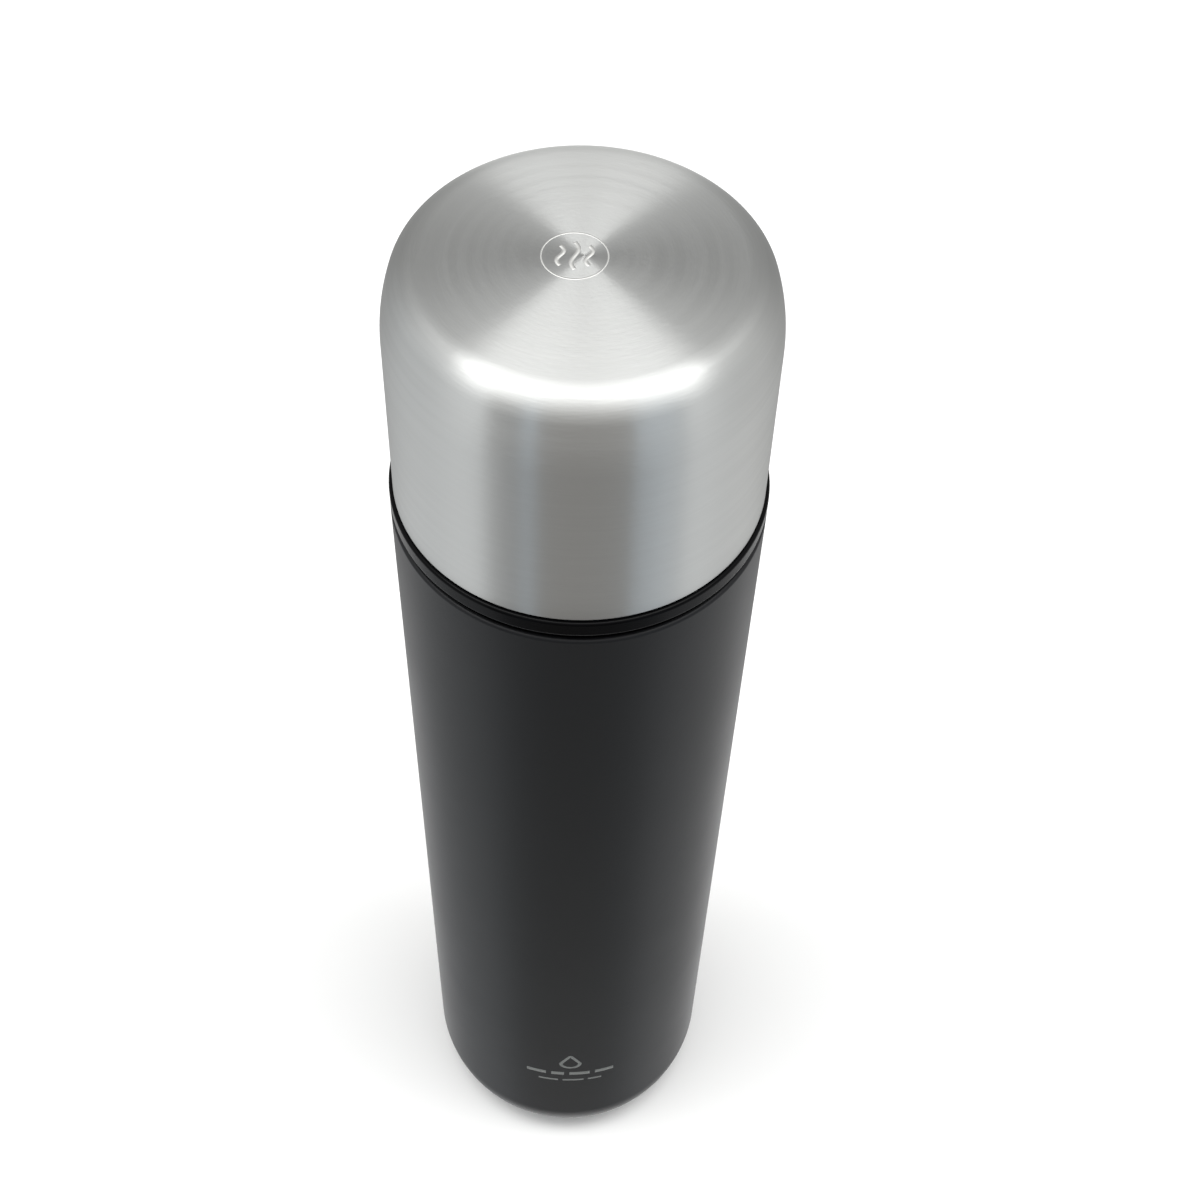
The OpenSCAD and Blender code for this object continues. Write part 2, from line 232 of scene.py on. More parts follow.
def ribbon(name: str, path: np.ndarray, width: float, closed: bool, lay: Layer) -> bpy.types.Object:
    """A thin printed or etched line on a surface.

    Formula: the path's points are moved half the width to each side, square to the path, and laid on the
    surface, slightly crowned, with a wall round the edge that drops just under the surface.

    Args:
        name: Name of the piece.
        path: Flat points of the line's middle.
        width: Width of the line.
        closed: Whether the last point joins the first.
        lay: Function of (flat points, lift) that gives the points in space.

    Returns:
        The object.
    """
    run = np.roll(path, -1, axis=0) - np.roll(path, 1, axis=0) if closed else np.gradient(path, axis=0)
    run /= np.linalg.norm(run, axis=1, keepdims=True)
    side = np.stack([-run[:, 1], run[:, 0]], axis=1) * width / 2
    lanes = [lay(path + side * offset, lift)
             for offset, lift in ((1, -0.05), (1, 0.012), (0, 0.016), (-1, 0.012), (-1, -0.05))]
    grid = np.stack(lanes, axis=1)
    return make_piece(name, grid if closed else capped(grid), round_rows=closed)


@dataclass(frozen=True)
class Thread:
    """A helical screw thread raised on a wall, with tapered ends.

    Attributes:
        wall: Radius of the wall that carries it.
        height: How far the ridge stands out; negative for a ridge that points at the axis.
        low: Height of the lower end of each ridge's middle.
        turns: Turns that each ridge runs.
        lead: Rise in one turn.
        starts: Number of equal ridges.
        root: Width of the ridge where it meets the wall.
        crest: Width of its top.
    """

    wall: float
    height: float
    low: float
    turns: float
    lead: float = 12.0
    starts: int = 2
    root: float = 1.8
    crest: float = 1.0

    @property
    def top(self) -> float:
        """Height above which the wall is plain again."""
        return self.low + self.lead * self.turns + self.root

    @property
    def bottom(self) -> float:
        """Height below which the wall is plain."""
        return self.low - self.root

    def stretch(self, step: float = 0.2) -> np.ndarray:
        """Outline points, step apart, that the ridges need on the wall, going up."""
        heights = np.arange(self.bottom, self.top + step / 2, step)
        return np.stack([np.full_like(heights, self.wall), heights], axis=1)

    def raise_on(self, radii: np.ndarray, heights: np.ndarray, angles: np.ndarray) -> tuple[np.ndarray, np.ndarray]:
        """Lifts the ridges out of the wall.

        Formula: the middle of start k climbs by the lead in each turn from angle k / starts of a turn; a point
        rises in full within half the crest's width of it, falls evenly to nothing at half the root's width,
        and is scaled by a smooth run-in over the first and last twentieth of a turn.

        Args:
            radii: Radius of each point.
            heights: Height of each point.
            angles: Angle of each point in radians.

        Returns:
            The new radii and the heights.
        """
        on_wall = np.abs(radii - self.wall) < 0.01
        lift = np.zeros_like(radii)
        for start in range(self.starts):
            along = np.mod(angles / (2 * np.pi) - start / self.starts, 1.0)
            middle = self.low + self.lead * along
            slope = (self.root / 2 - np.abs(heights - middle)) / ((self.root - self.crest) / 2)
            run_in = np.clip(np.minimum(along, self.turns - along) / 0.05, 0, 1)
            lift = np.maximum(lift, np.clip(slope, 0, 1) * run_in * run_in * (3 - 2 * run_in))
        return radii + self.height * lift * on_wall, heights


def joined(*parts: np.ndarray) -> np.ndarray:
    """Several stretches of points as one outline."""
    return np.concatenate([np.atleast_2d(np.asarray(p, float)) for p in parts])


# ---------------------------------------------------------------- materials


def linear(colour: str) -> tuple[float, float, float, float]:
    """Turns an sRGB hex colour to linear.

    Args:
        colour: The colour, such as "C8C6C2".

    Returns:
        Linear red, green, blue and alpha.
    """
    parts = np.array([int(colour[i:i + 2], 16) for i in (0, 2, 4)]) / 255
    out = np.where(parts <= 0.04045, parts / 12.92, ((parts + 0.055) / 1.055) ** 2.4)
    return (*[float(v) for v in out], 1.0)


def add_node(tree: bpy.types.NodeTree, kind: str, settings: Optional[dict] = None,
             inputs: Optional[dict] = None) -> bpy.types.Node:
    """Adds a node.

    Args:
        tree: The node tree that gets it.
        kind: Blender's name of the node type, without "ShaderNode".
        settings: Properties of the node.
        inputs: Socket name or number, with its value or the output socket that feeds it.

    Returns:
        The node.
    """
    node = tree.nodes.new("ShaderNode" + kind)
    for key, value in (settings or {}).items():
        setattr(node, key, value)
    for key, value in (inputs or {}).items():
        if isinstance(value, bpy.types.NodeSocket):
            tree.links.new(value, node.inputs[key])
        else:
            node.inputs[key].default_value = value
    return node


def set_ramp(node: bpy.types.Node, stops: Sequence[tuple[float, tuple]], mode: str = "LINEAR") -> None:
    """Gives a colour ramp its stops.

    Args:
        node: The ramp's node.
        stops: A place from 0 to 1 and a colour for each stop.
        mode: How the ramp goes from stop to stop.
    """
    ramp = node.color_ramp
    ramp.interpolation = mode
    while len(ramp.elements) < len(stops):
        ramp.elements.new(0.5)
    for element, (place, colour) in zip(ramp.elements, stops):
        element.position = place
        element.color = colour


@dataclass(frozen=True)
class Finish:
    """A surface finish: a Principled shader whose constants are set here and whose detail a subclass adds.

    Attributes:
        title: Name of the material.
        slot: Name of the material slot that it belongs to; not used.
        colour: Base colour, sRGB hex.
        roughness: Microscopic roughness.
        metallic: 1 for bare metal.
        specular: Specular level of a non-metal; 0.5 is plain plastic.
        grain_mm: Size of the bump's grains.
        grain_depth_mm: Height of the bump.
        mottle: How much the cloudy pattern darkens the colour, as a share.
    """

    title: str
    slot: str
    colour: str
    roughness: float
    metallic: float = 0.0
    specular: float = 0.5
    grain_mm: float = 0.8
    grain_depth_mm: float = 0.01
    mottle: float = 0.06

    def material(self) -> bpy.types.Material:
        """Makes the Blender material the first time it is asked for.

        Returns:
            The material.
        """
        found = bpy.data.materials.get(self.title)
        if found:
            return found
        made = bpy.data.materials.new(self.title)
        made.use_nodes = True
        tree = made.node_tree
        shader = tree.nodes["Principled BSDF"]
        shader.inputs["Base Color"].default_value = linear(self.colour)
        shader.inputs["Roughness"].default_value = self.roughness
        shader.inputs["Metallic"].default_value = self.metallic
        if not self.metallic:
            shader.inputs["Specular IOR Level"].default_value = self.specular
        self.detail(tree, shader)
        made.diffuse_color = linear(self.colour)
        return made

    def place(self, tree: bpy.types.NodeTree) -> bpy.types.NodeSocket:
        """Object coordinates in metres, the same on every piece because all stand at the origin."""
        return add_node(tree, "TexCoord").outputs["Object"]

    def vary(self, tree: bpy.types.NodeTree, shader: bpy.types.Node, pattern: bpy.types.NodeSocket,
             colour_share: float, rough_share: float) -> None:
        """Lets a 0 to 1 pattern darken the colour and change the roughness.

        Args:
            tree: The material's tree.
            shader: Its Principled shader.
            pattern: The pattern's socket.
            colour_share: How much darker the pattern makes the colour, as a share.
            rough_share: How much the pattern adds to the roughness, as a share.
        """
        base = linear(self.colour)
        dark = tuple(v * (1 - colour_share) for v in base[:3]) + (1.0,)
        mix = add_node(tree, "Mix", {"data_type": "RGBA"}, {0: pattern, 6: base, 7: dark})
        tree.links.new(mix.outputs[2], shader.inputs["Base Color"])
        rough = add_node(tree, "MapRange", None, {
            "Value": pattern, "To Min": self.roughness * (1 - rough_share / 2),
            "To Max": self.roughness * (1 + rough_share / 2)})
        tree.links.new(rough.outputs["Result"], shader.inputs["Roughness"])

    def detail(self, tree: bpy.types.NodeTree, shader: bpy.types.Node) -> None:
        """Adds a fine isotropic grain with a slight mottle, which suits moulded and blasted surfaces.

        Args:
            tree: The material's tree.
            shader: Its Principled shader.
        """
        place = self.place(tree)
        grain = add_node(tree, "TexNoise", None, {
            "Vector": place, "Scale": 1 / (self.grain_mm * MM), "Detail": 3.0, "Roughness": 0.6})
        cloud = add_node(tree, "TexNoise", None, {
            "Vector": place, "Scale": 1 / (18 * MM), "Detail": 3.0, "Roughness": 0.55})
        self.vary(tree, shader, cloud.outputs["Fac"], self.mottle, 0.12)
        bump = add_node(tree, "Bump", None, {
            "Height": grain.outputs["Fac"], "Distance": self.grain_depth_mm * MM, "Strength": 1.0})
        tree.links.new(bump.outputs["Normal"], shader.inputs["Normal"])


@dataclass(frozen=True)
class TurnedSteel(Finish):
    """Stainless sheet brushed round the axis, so that highlights are drawn out across the brush lines.

    The brush lines are 0.1 mm apart on real sheet. They are drawn coarser, so that they show.

    Attributes:
        anisotropy: How strongly highlights are drawn out.
        brush_mm: Spacing of the brush lines.
        brush_run: Length of a brush line, as a share of the radius.
        stroke_mm: Spacing of the deeper strokes that stand out among the lines.
        stroke_run: Their length, as a share of the radius.
        stroke_depth_mm: Their depth; 0 for none.
        lathe_mm: Spacing of the rings that spinning leaves in the middle of a flat top; 0 for none.
        lathe_radius_mm: Radius over which those rings fade out.
    """

    anisotropy: float = 0.9
    brush_mm: float = 0.22
    brush_run: float = 0.35
    stroke_mm: float = 0.8
    stroke_run: float = 0.2
    stroke_depth_mm: float = 0.0
    lathe_mm: float = 0.0
    lathe_radius_mm: float = 14.0

    def detail(self, tree: bpy.types.NodeTree, shader: bpy.types.Node) -> None:
        """Brush lines from a noise that is long round the axis and short along the outline.

        Formula: the noise reads the direction from the axis (x / r, y / r), scaled to the run of a line, and
        height minus radius, which grows steadily along the outline, scaled to the lines' spacing.

        Args:
            tree: The material's tree.
            shader: Its Principled shader.
        """
        place = self.place(tree)
        parts = add_node(tree, "SeparateXYZ", None, {0: place})
        flat = add_node(tree, "CombineXYZ", None, {"X": parts.outputs["X"], "Y": parts.outputs["Y"]})
        radius = add_node(tree, "VectorMath", {"operation": "LENGTH"}, {0: flat.outputs[0]})
        heading = add_node(tree, "VectorMath", {"operation": "NORMALIZE"}, {0: flat.outputs[0]})
        heads = add_node(tree, "SeparateXYZ", None, {0: heading.outputs[0]})
        along = add_node(tree, "Math", {"operation": "SUBTRACT"}, {0: parts.outputs["Z"], 1: radius.outputs["Value"]})
        lay = add_node(tree, "CombineXYZ", None, {
            "X": heads.outputs["X"], "Y": heads.outputs["Y"], "Z": along.outputs[0]})
        stretch = add_node(tree, "VectorMath", {"operation": "MULTIPLY"}, {
            0: lay.outputs[0], 1: (1 / self.brush_run, 1 / self.brush_run, 1 / (self.brush_mm * MM))})
        brush = add_node(tree, "TexNoise", None, {
            "Vector": stretch.outputs[0], "Scale": 1.0, "Detail": 4.0, "Roughness": 0.65})
        cloud = add_node(tree, "TexNoise", None, {
            "Vector": stretch.outputs[0], "Scale": 0.12, "Detail": 2.0, "Roughness": 0.5})
        both = add_node(tree, "Math", {"operation": "MULTIPLY_ADD", "use_clamp": True}, {
            0: brush.outputs["Fac"], 1: 0.7, 2: cloud.outputs["Fac"]})
        self.vary(tree, shader, both.outputs[0], self.mottle, 0.3)
        height = brush.outputs["Fac"]
        if self.stroke_depth_mm:
            sweep = add_node(tree, "VectorMath", {"operation": "MULTIPLY"}, {
                0: lay.outputs[0], 1: (1 / self.stroke_run, 1 / self.stroke_run, 1 / (self.stroke_mm * MM))})
            stroke = add_node(tree, "TexNoise", None, {
                "Vector": sweep.outputs[0], "Scale": 1.0, "Detail": 2.0, "Roughness": 0.5})
            height = add_node(tree, "Math", {"operation": "MULTIPLY_ADD"}, {
                0: stroke.outputs["Fac"], 1: self.stroke_depth_mm / self.grain_depth_mm, 2: height}).outputs[0]
        if self.lathe_mm:
            turns = add_node(tree, "Math", {"operation": "MULTIPLY"}, {
                0: radius.outputs["Value"], 1: 1 / (self.lathe_mm * MM)})
            ring = add_node(tree, "TexNoise", {"noise_dimensions": "1D"}, {
                "W": turns.outputs[0], "Scale": 1.0, "Detail": 2.0, "Roughness": 0.5})
            fade = add_node(tree, "MapRange", {"interpolation_type": "SMOOTHSTEP"}, {
                "Value": radius.outputs["Value"], "From Min": 0.0, "From Max": self.lathe_radius_mm * MM,
                "To Min": 5.0, "To Max": 0.0})
            rings = add_node(tree, "Math", {"operation": "MULTIPLY"}, {
                0: ring.outputs["Fac"], 1: fade.outputs["Result"]})
            height = add_node(tree, "Math", {"operation": "ADD"}, {0: height, 1: rings.outputs[0]}).outputs[0]
        bump = add_node(tree, "Bump", None, {
            "Height": height, "Distance": self.grain_depth_mm * MM, "Strength": 1.0})
        tree.links.new(bump.outputs["Normal"], shader.inputs["Normal"])
        tangent = add_node(tree, "Tangent", {"direction_type": "RADIAL", "axis": "Z"})
        tree.links.new(tangent.outputs["Tangent"], shader.inputs["Tangent"])
        shader.inputs["Anisotropic"].default_value = self.anisotropy
        shader.inputs["Anisotropic Rotation"].default_value = 0.25


@dataclass(frozen=True)
class PowderCoat(Finish):
    """Fine-texture polyester powder coat: a shallow orange peel with tiny darker pits between its beads.

    Attributes:
        peel_mm: Size of the orange peel's beads.
    """

    peel_mm: float = 1.1

    def detail(self, tree: bpy.types.NodeTree, shader: bpy.types.Node) -> None:
        """Adds an orange peel of two sizes of grain, and a broad cloud that changes the roughness a little.

        Args:
            tree: The material's tree.
            shader: Its Principled shader.
        """
        place = self.place(tree)
        peel = add_node(tree, "TexVoronoi", {"feature": "SMOOTH_F1"}, {
            "Vector": place, "Scale": 1 / (self.peel_mm * MM), "Smoothness": 0.7})
        grain = add_node(tree, "TexNoise", None, {
            "Vector": place, "Scale": 1 / (self.grain_mm * MM), "Detail": 2.0, "Roughness": 0.5})
        height = add_node(tree, "Math", {"operation": "MULTIPLY_ADD"}, {
            0: peel.outputs["Distance"], 1: 0.6, 2: grain.outputs["Fac"]})
        cloud = add_node(tree, "TexNoise", None, {
            "Vector": place, "Scale": 1 / (35 * MM), "Detail": 4.0, "Roughness": 0.6})
        spots = add_node(tree, "Math", {"operation": "MULTIPLY_ADD", "use_clamp": True}, {
            0: grain.outputs["Fac"], 1: 0.5, 2: cloud.outputs["Fac"]})
        self.vary(tree, shader, spots.outputs[0], self.mottle, 0.15)
        bump = add_node(tree, "Bump", None, {
            "Height": height.outputs[0], "Distance": self.grain_depth_mm * MM, "Strength": 1.0})
        tree.links.new(bump.outputs["Normal"], shader.inputs["Normal"])


# Stainless steel grade 304, spun and brushed round the axis: a long soft highlight across fine lines
CUP_STEEL = TurnedSteel("stainless_brushed_round", "brushed_steel", "CFD0CE", 0.33, 1.0,
                        grain_depth_mm=0.004, mottle=0.10, anisotropy=0.99, stroke_mm=0.55, stroke_run=0.1,
                        stroke_depth_mm=0.026, lathe_mm=1.3)
# The same sheet left as it comes from electropolishing: brighter and less drawn out
LINER_STEEL = TurnedSteel("stainless_electropolished", "liner_steel", "C4C5C2", 0.26, 1.0,
                          grain_depth_mm=0.002, mottle=0.05, anisotropy=0.6, brush_mm=0.6)
# Charcoal polyester powder coat: satin, with a soft sheen at grazing angles
BODY_PAINT = PowderCoat("powder_coat_charcoal", "painted_steel", "18191B", 0.40, specular=0.21,
                        grain_mm=0.35, grain_depth_mm=0.006, mottle=0.12)
# Black polypropylene from a polished mould: deep black with a clear narrow highlight
GLOSS_BLACK = Finish("polypropylene_black_gloss", "black_plastic", "050506", 0.22, specular=0.07,
                     grain_mm=2.5, grain_depth_mm=0.01)
# Black polypropylene from a spark-eroded mould: dull and finely grained
MATT_BLACK = Finish("polypropylene_black_grained", "stopper_plastic", "1C1D1F", 0.48, specular=0.4,
                    grain_mm=0.28, grain_depth_mm=0.02)
# Grey polypropylene, satin, for what the thumb presses
CONTROL_GREY = Finish("polypropylene_grey_satin", "control_plastic", "5A5D61", 0.40, specular=0.4,
                      grain_mm=0.35, grain_depth_mm=0.012)
# Translucent food-grade silicone: soft, slightly milky
SILICONE = Finish("silicone_natural", "silicone", "CFCBC0", 0.45, specular=0.35, grain_mm=1.2, grain_depth_mm=0.01)
# Rolled copper foil: warm and bright with fine rolling marks
COPPER = TurnedSteel("copper_foil_bright", "copper", "D98A66", 0.25, 1.0,
                     grain_depth_mm=0.003, anisotropy=0.5, brush_mm=0.8)
# Drawn stainless wire: bright and smooth
WIRE = Finish("spring_wire", "spring_steel", "C9C9C9", 0.2, 1.0, grain_mm=0.4, grain_depth_mm=0.002)
# Grey solder glass, melted and set: glassy with a soft skin
SOLDER = Finish("solder_glass", "solder", "6C6E72", 0.3, specular=0.6, grain_mm=0.8, grain_depth_mm=0.02)
# Sintered getter pellet: dull and porous
PELLET = Finish("sintered_pellet", "getter_metal", "7A7672", 0.7, 1.0, grain_mm=0.3, grain_depth_mm=0.05)
# Laser-etched steel: the brush lines are melted away, which leaves a pale dull line
ETCHED = Finish("stainless_laser_etched", "brushed_steel", "D9D9D6", 0.55, 1.0, grain_mm=0.2, grain_depth_mm=0.01)
# Pale grey pad print on the powder coat
PRINT_INK = Finish("pad_print_grey", "painted_steel", "6F7270", 0.5, specular=0.3, grain_mm=0.3, grain_depth_mm=0.004)


def dress(piece: bpy.types.Object, finish: Finish, body: str, *nodes: str) -> bpy.types.Object:
    """Gives a new piece its finish and its body, and hides the CAD nodes it stands for.

    Args:
        piece: The new piece.
        finish: Its finish.
        body: The CAD body it moves with.
        *nodes: The CAD nodes it replaces.

    Returns:
        The piece.
    """
    piece.data.materials.clear()
    piece.data.materials.append(finish.material())
    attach(piece, body)
    if nodes:
        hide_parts(*nodes)
    LOG.info("%s: %d faces, rides on %s", piece.name, len(piece.data.polygons), body)
    return piece


def finish_node(name: str, finish: Finish) -> None:
    """Gives a CAD node that stays in view the better material.

    Args:
        name: Name of the node.
        finish: Its finish.
    """
    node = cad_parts[name]
    if not node.material_slots:
        node.data.materials.append(None)
    for slot in node.material_slots:
        slot.material = finish.material()
    LOG.info("%s: kept from the model", name)


# ---------------------------------------------------------------- the flask


def reach(node: str) -> tuple[float, float, float]:
    """A CAD node's greatest radius, lowest height and highest height, in millimetres."""
    low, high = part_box(node)
    return max(high.x, high.y) / MM, low.z / MM, high.z / MM


@dataclass
class Levels:
    """Heights and radii that the sub-assemblies share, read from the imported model.

    Attributes:
        groove: Height of the shadow groove between the body and the collar's rim.
        rim: Height of the collar's rim.
        neck: Height of the lip above the shoulder.
        print_room: How far the body's visible skin lies inside the model's, which leaves room for the print.
        body_r: Outside radius of the body.
        shoulder: Height of the body's shoulder.
        mouth: Height of the bottle's lip.
        sleeve_top: Height of the collar's top.
        rim_top: Height of the collar's visible rim.
        cup_low: Height of the cup's rim.
        cup_top: Height of the cup's crown.
    """

    groove: float = 1.5
    rim: float = 3.6
    neck: float = 18.0
    print_room: float = 0.02
    body_r: float = field(init=False)
    shoulder: float = field(init=False)
    mouth: float = field(init=False)
    sleeve_top: float = field(init=False)
    rim_top: float = field(init=False)
    cup_low: float = field(init=False)
    cup_top: float = field(init=False)

    def __post_init__(self) -> None:
        """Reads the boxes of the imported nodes."""
        self.body_r = reach("outer_shell")[0] - self.print_room
        self.mouth = reach("inner_bottle")[2]
        self.shoulder = self.mouth - self.neck
        self.sleeve_top = reach("collar")[2]
        self.rim_top = self.shoulder + self.groove + self.rim
        _, self.cup_low, self.cup_top = reach("cup_shell")


@dataclass
class FlaskBody:
    """The insulated bottle: two steel walls, the base and the black collar.

    Attributes:
        at: The shared levels.
        sheet: Thickness of the steel sheet.
        curve_r: Radius of the long curve at the foot.
        corner_r: Radius of the tighter curve under it.
        foot_break: Angle where one gives way to the other, in degrees.
        lip: Width of the flat foot ring.
        base: Height of the recessed base.
        shoulder_r: Radius of the shoulder's corner.
        groove_depth: Depth of the shadow groove under the collar's rim.
        liner_gap: Space from the outside of the body to the outside of the inner bottle.
        liner_lift: How much higher the inner bottle's bottom curve lies.
        weld: Height of the seam between the inner bottle and its bottom.
        neck_r: Inside radius of the neck.
        neck_wall: Thickness of the neck with its outer wall.
        plug_r: Radius of the stopper's plug, which the neck's ridges clear.
        sleeve_r: Radius of the collar's sleeve.
        clear: Space between the ridges of a thread and the wall that they pass.
        print_x: Place of the print across the front.
        print_low: Height of its lowest row.
    """

    at: Levels
    sheet: float = 0.6
    curve_r: float = 24.0
    corner_r: float = 9.0
    foot_break: float = 25.0
    lip: float = 2.1
    base: float = 2.4
    shoulder_r: float = 0.7
    groove_depth: float = 1.2
    liner_gap: float = 3.0
    liner_lift: float = 2.7
    weld: float = 30.0
    neck_r: float = 23.0
    neck_wall: float = 2.2
    plug_r: float = 21.4
    sleeve_r: float = 29.4
    clear: float = 0.3
    print_x: float = 1.0
    print_low: float = 37.6

    def foot(self, inset: float, steps: int = 14) -> np.ndarray:
        """The foot's curve from the flat ring to the straight wall.

        Formula: two arcs that share a tangent at the break angle, both shrunk by the inset.

        Args:
            inset: Distance inside the outer surface.
            steps: Stretches in each arc.

        Returns:
            The points, going outwards and up.
        """
        turn = math.radians(self.foot_break)
        ring = self.at.body_r - self.curve_r * (1 - math.cos(turn)) - self.corner_r * math.cos(turn)
        top = self.curve_r * math.sin(turn) + self.corner_r * (1 - math.sin(turn))
        low = arc((ring, self.corner_r), self.corner_r - inset, -90, -self.foot_break, steps)
        high = arc((self.at.body_r - self.curve_r, top), self.curve_r - inset, -self.foot_break, 0, steps)
        return joined(low, high[1:])

    @property
    def ring_r(self) -> float:
        """Radius where the flat foot ring ends."""
        return float(self.foot(0)[0, 0]) - self.lip

    def outer_shell(self) -> bpy.types.Object:
        """The painted outer wall: foot ring, curve, straight wall, shoulder and neck, a sheet thick.

        Returns:
            The object.
        """
        a, t = self.at, self.sheet
        neck = self.neck_r + self.neck_wall
        top = a.mouth - 1.2
        corner = (a.body_r - self.shoulder_r, a.shoulder - self.shoulder_r)
        outside = joined(
            [self.ring_r, 0.0], self.foot(0), arc(corner, self.shoulder_r, 0, 90, 8),
            arc((neck + 0.8, a.shoulder + 0.8), 0.8, 270, 180, 5), [neck, top])
        inside = joined(
            [neck - t, top], [neck - t, a.shoulder - t], arc(corner, self.shoulder_r - t, 90, 0, 6),
            self.foot(t)[::-1], [self.ring_r + t, t], [self.ring_r + t, self.base + t], [self.ring_r, self.base + t])
        return turned("painted_outer_shell", braced(joined(outside, inside), True), columns=256)

    def base_cover(self) -> bpy.types.Object:
        """The disc in the recess under the base, with a stepped rim and a shallow centre.

        Returns:
            The object.
        """
        edge = self.ring_r - 0.15
        outline = rounded([
            (0, 1.0, 0), (edge - 3, 1.0, 0.6), (edge - 2.4, 0.7, 0.6), (edge, 0.7, 0.15), (edge, 1.3, 0.15),
            (edge - 2, 1.3, 0.4), (edge - 2.6, 1.6, 0.4), (0, 1.6, 0)], steps=4, closed=False)
        return turned("base_cover_disc", braced(outline, False))

    def liner_foot(self, inset: float) -> np.ndarray:
        """The inner bottle's bottom curve: the foot's, set in and lifted."""
        return self.foot(self.liner_gap + inset) + [0, self.liner_lift]

    def liner_neck(self, inset: float) -> np.ndarray:
        """The inner bottle's shoulder: a convex arc of 8 mm into a concave one of 5 mm, which share a tangent.

        Args:
            inset: Distance inside the outer surface.

        Returns:
            The points, going up.
        """
        outer = self.at.body_r - self.liner_gap
        drop = outer - self.neck_r - self.sheet
        turn = math.degrees(math.acos(1 - drop / 13.0))
        rise = 13.0 * math.sin(math.radians(turn))
        low = self.at.shoulder - 4.5 - rise
        convex = arc((outer - 8, low), 8 - inset, 0, turn, 10)
        concave = arc((self.neck_r + self.sheet + 5, low + rise), 5 + inset, 180 + turn, 180, 10)
        return joined(convex, concave[1:])

    def inner_bottle(self) -> bpy.types.Object:
        """The inner bottle's wall, shoulder, threaded neck and rolled lip.

        Returns:
            The object.
        """
        a, t = self.at, self.sheet
        outer = a.body_r - self.liner_gap
        lip_r = self.neck_r + self.neck_wall
        thread = Thread(self.neck_r, self.plug_r + self.clear - self.neck_r, a.mouth - 16 + 2.2, 0.6)
        outside = joined(
            [outer, self.weld], self.liner_neck(0), [self.neck_r + t, a.mouth - 1.2], [lip_r, a.mouth - 1.2],
            arc((lip_r - 0.5, a.mouth - 0.5), 0.5, 0, 90, 6), arc((self.neck_r + 0.5, a.mouth - 0.5), 0.5, 90, 180, 6))
        inside = joined(thread.stretch()[::-1], self.liner_neck(t)[::-1], [outer - t, self.weld])
        outline = braced(joined(outside, inside), True)
        return turned("inner_bottle_wall", outline, columns=240, shape=thread.raise_on)

    def inner_base(self) -> bpy.types.Object:
        """The pressed bottom of the inner bottle.

        Returns:
            The object.
        """
        outer = self.at.body_r - self.liner_gap
        low, high = self.liner_foot(0), self.liner_foot(self.sheet)
        outline = joined(
            [0.0, low[0, 1]], low, [outer, self.weld - 0.05], [outer - self.sheet, self.weld - 0.05],
            high[::-1], [0.0, high[0, 1]])
        return turned("inner_bottle_bottom", braced(outline, False))

    def collar(self) -> bpy.types.Object:
        """The black collar: a rim, a shadow groove with a thin black lip on the shoulder, and a sleeve with a thread.
        The lip is a dark sheet laid over the painted shoulder under the rim, which paints shade into the groove's
        floor.

        Returns:
            The object.
        """
        a = self.at
        bore = self.neck_r + self.neck_wall + 0.05
        skirt = a.body_r - self.groove_depth
        # Outer edge of the thin black lip on the shoulder: a dark sheet that paints the groove's shade.
        lip = a.body_r - self.shoulder_r
        rim = reach("collar")[0]
        groove = a.shoulder + a.groove
        thread = Thread(self.sleeve_r, 1.3, a.rim_top + 3.6, 0.55)
        # The first corners lay the thin black lip over the body's shoulder, a dark sheet that stands in for the shade
        # in the groove (painted shade).
        lower = rounded([
            (bore, a.shoulder + 0.05, 0.1), (lip, a.shoulder + 0.05, 0.08), (lip, a.shoulder + 0.25, 0.08),
            (skirt, a.shoulder + 0.25, 0.1), (skirt, groove, 0.15),
            (rim, groove, 0.6), (rim, a.rim_top, 0.6), (self.sleeve_r, a.rim_top, 0.3),
            (self.sleeve_r, thread.bottom, 0)], closed=False)
        upper = rounded([
            (self.sleeve_r, thread.top, 0), (self.sleeve_r, a.sleeve_top, 0.6), (bore, a.sleeve_top, 0.3),
            (bore, a.shoulder + 1, 0)], closed=False)
        outline = braced(joined(lower, thread.stretch(), upper), True)
        return turned("black_collar", outline, columns=288, shape=thread.raise_on)

    def on_wall(self, flat: np.ndarray, lift: float) -> np.ndarray:
        """Lays a flat drawing on the front of the wall.

        Formula: the distance across, divided by the radius, is the angle from the front.

        Args:
            flat: (across, height) points.
            lift: How far they stand out from the wall.

        Returns:
            The points in space, one a row.
        """
        angle, radius = flat[:, 0] / self.at.body_r, self.at.body_r + lift
        return np.column_stack([radius * np.sin(angle), -radius * np.cos(angle), flat[:, 1]])

    def prints(self) -> list[bpy.types.Object]:
        """The small print at the foot: a drop over two rows of bars.

        Formula: the drop's outline is a circle whose upper half is drawn up to a point, half width times the
        sine of the angle, which narrows evenly towards the point.

        Returns:
            The drop and the bars.
        """
        around = np.linspace(0, 2 * np.pi, 64, endpoint=False)
        narrow = np.where(np.cos(around) > 0, 1 - 0.75 * np.cos(around), 1.0)
        drop = np.stack([self.print_x - 2.5 * np.sin(around) * narrow,
                         self.print_low + 10.6 + np.where(np.cos(around) > 0, 4.6, 2.6) * np.cos(around)], axis=1)
        out = [ribbon("printed_drop", drop, 0.9, True, self.on_wall)]
        rows = ((self.print_low + 4.2, 1.7, (-11.6, -6.4, -5.0, -1.6, -0.2, 5.2, 6.6, 11.6)),
                (self.print_low, 0.9, (-8.4, -3.2, -2.0, 3.6, 4.8, 8.4)))
        for height, width, ends in rows:
            for start, stop in zip(ends[::2], ends[1::2]):
                across = self.print_x + np.linspace(start, stop, 12)
                bar = np.stack([across, np.full(12, height)], axis=1)
                out.append(ribbon(f"printed_bar_{len(out)}", bar, width, False, self.on_wall))
        return out

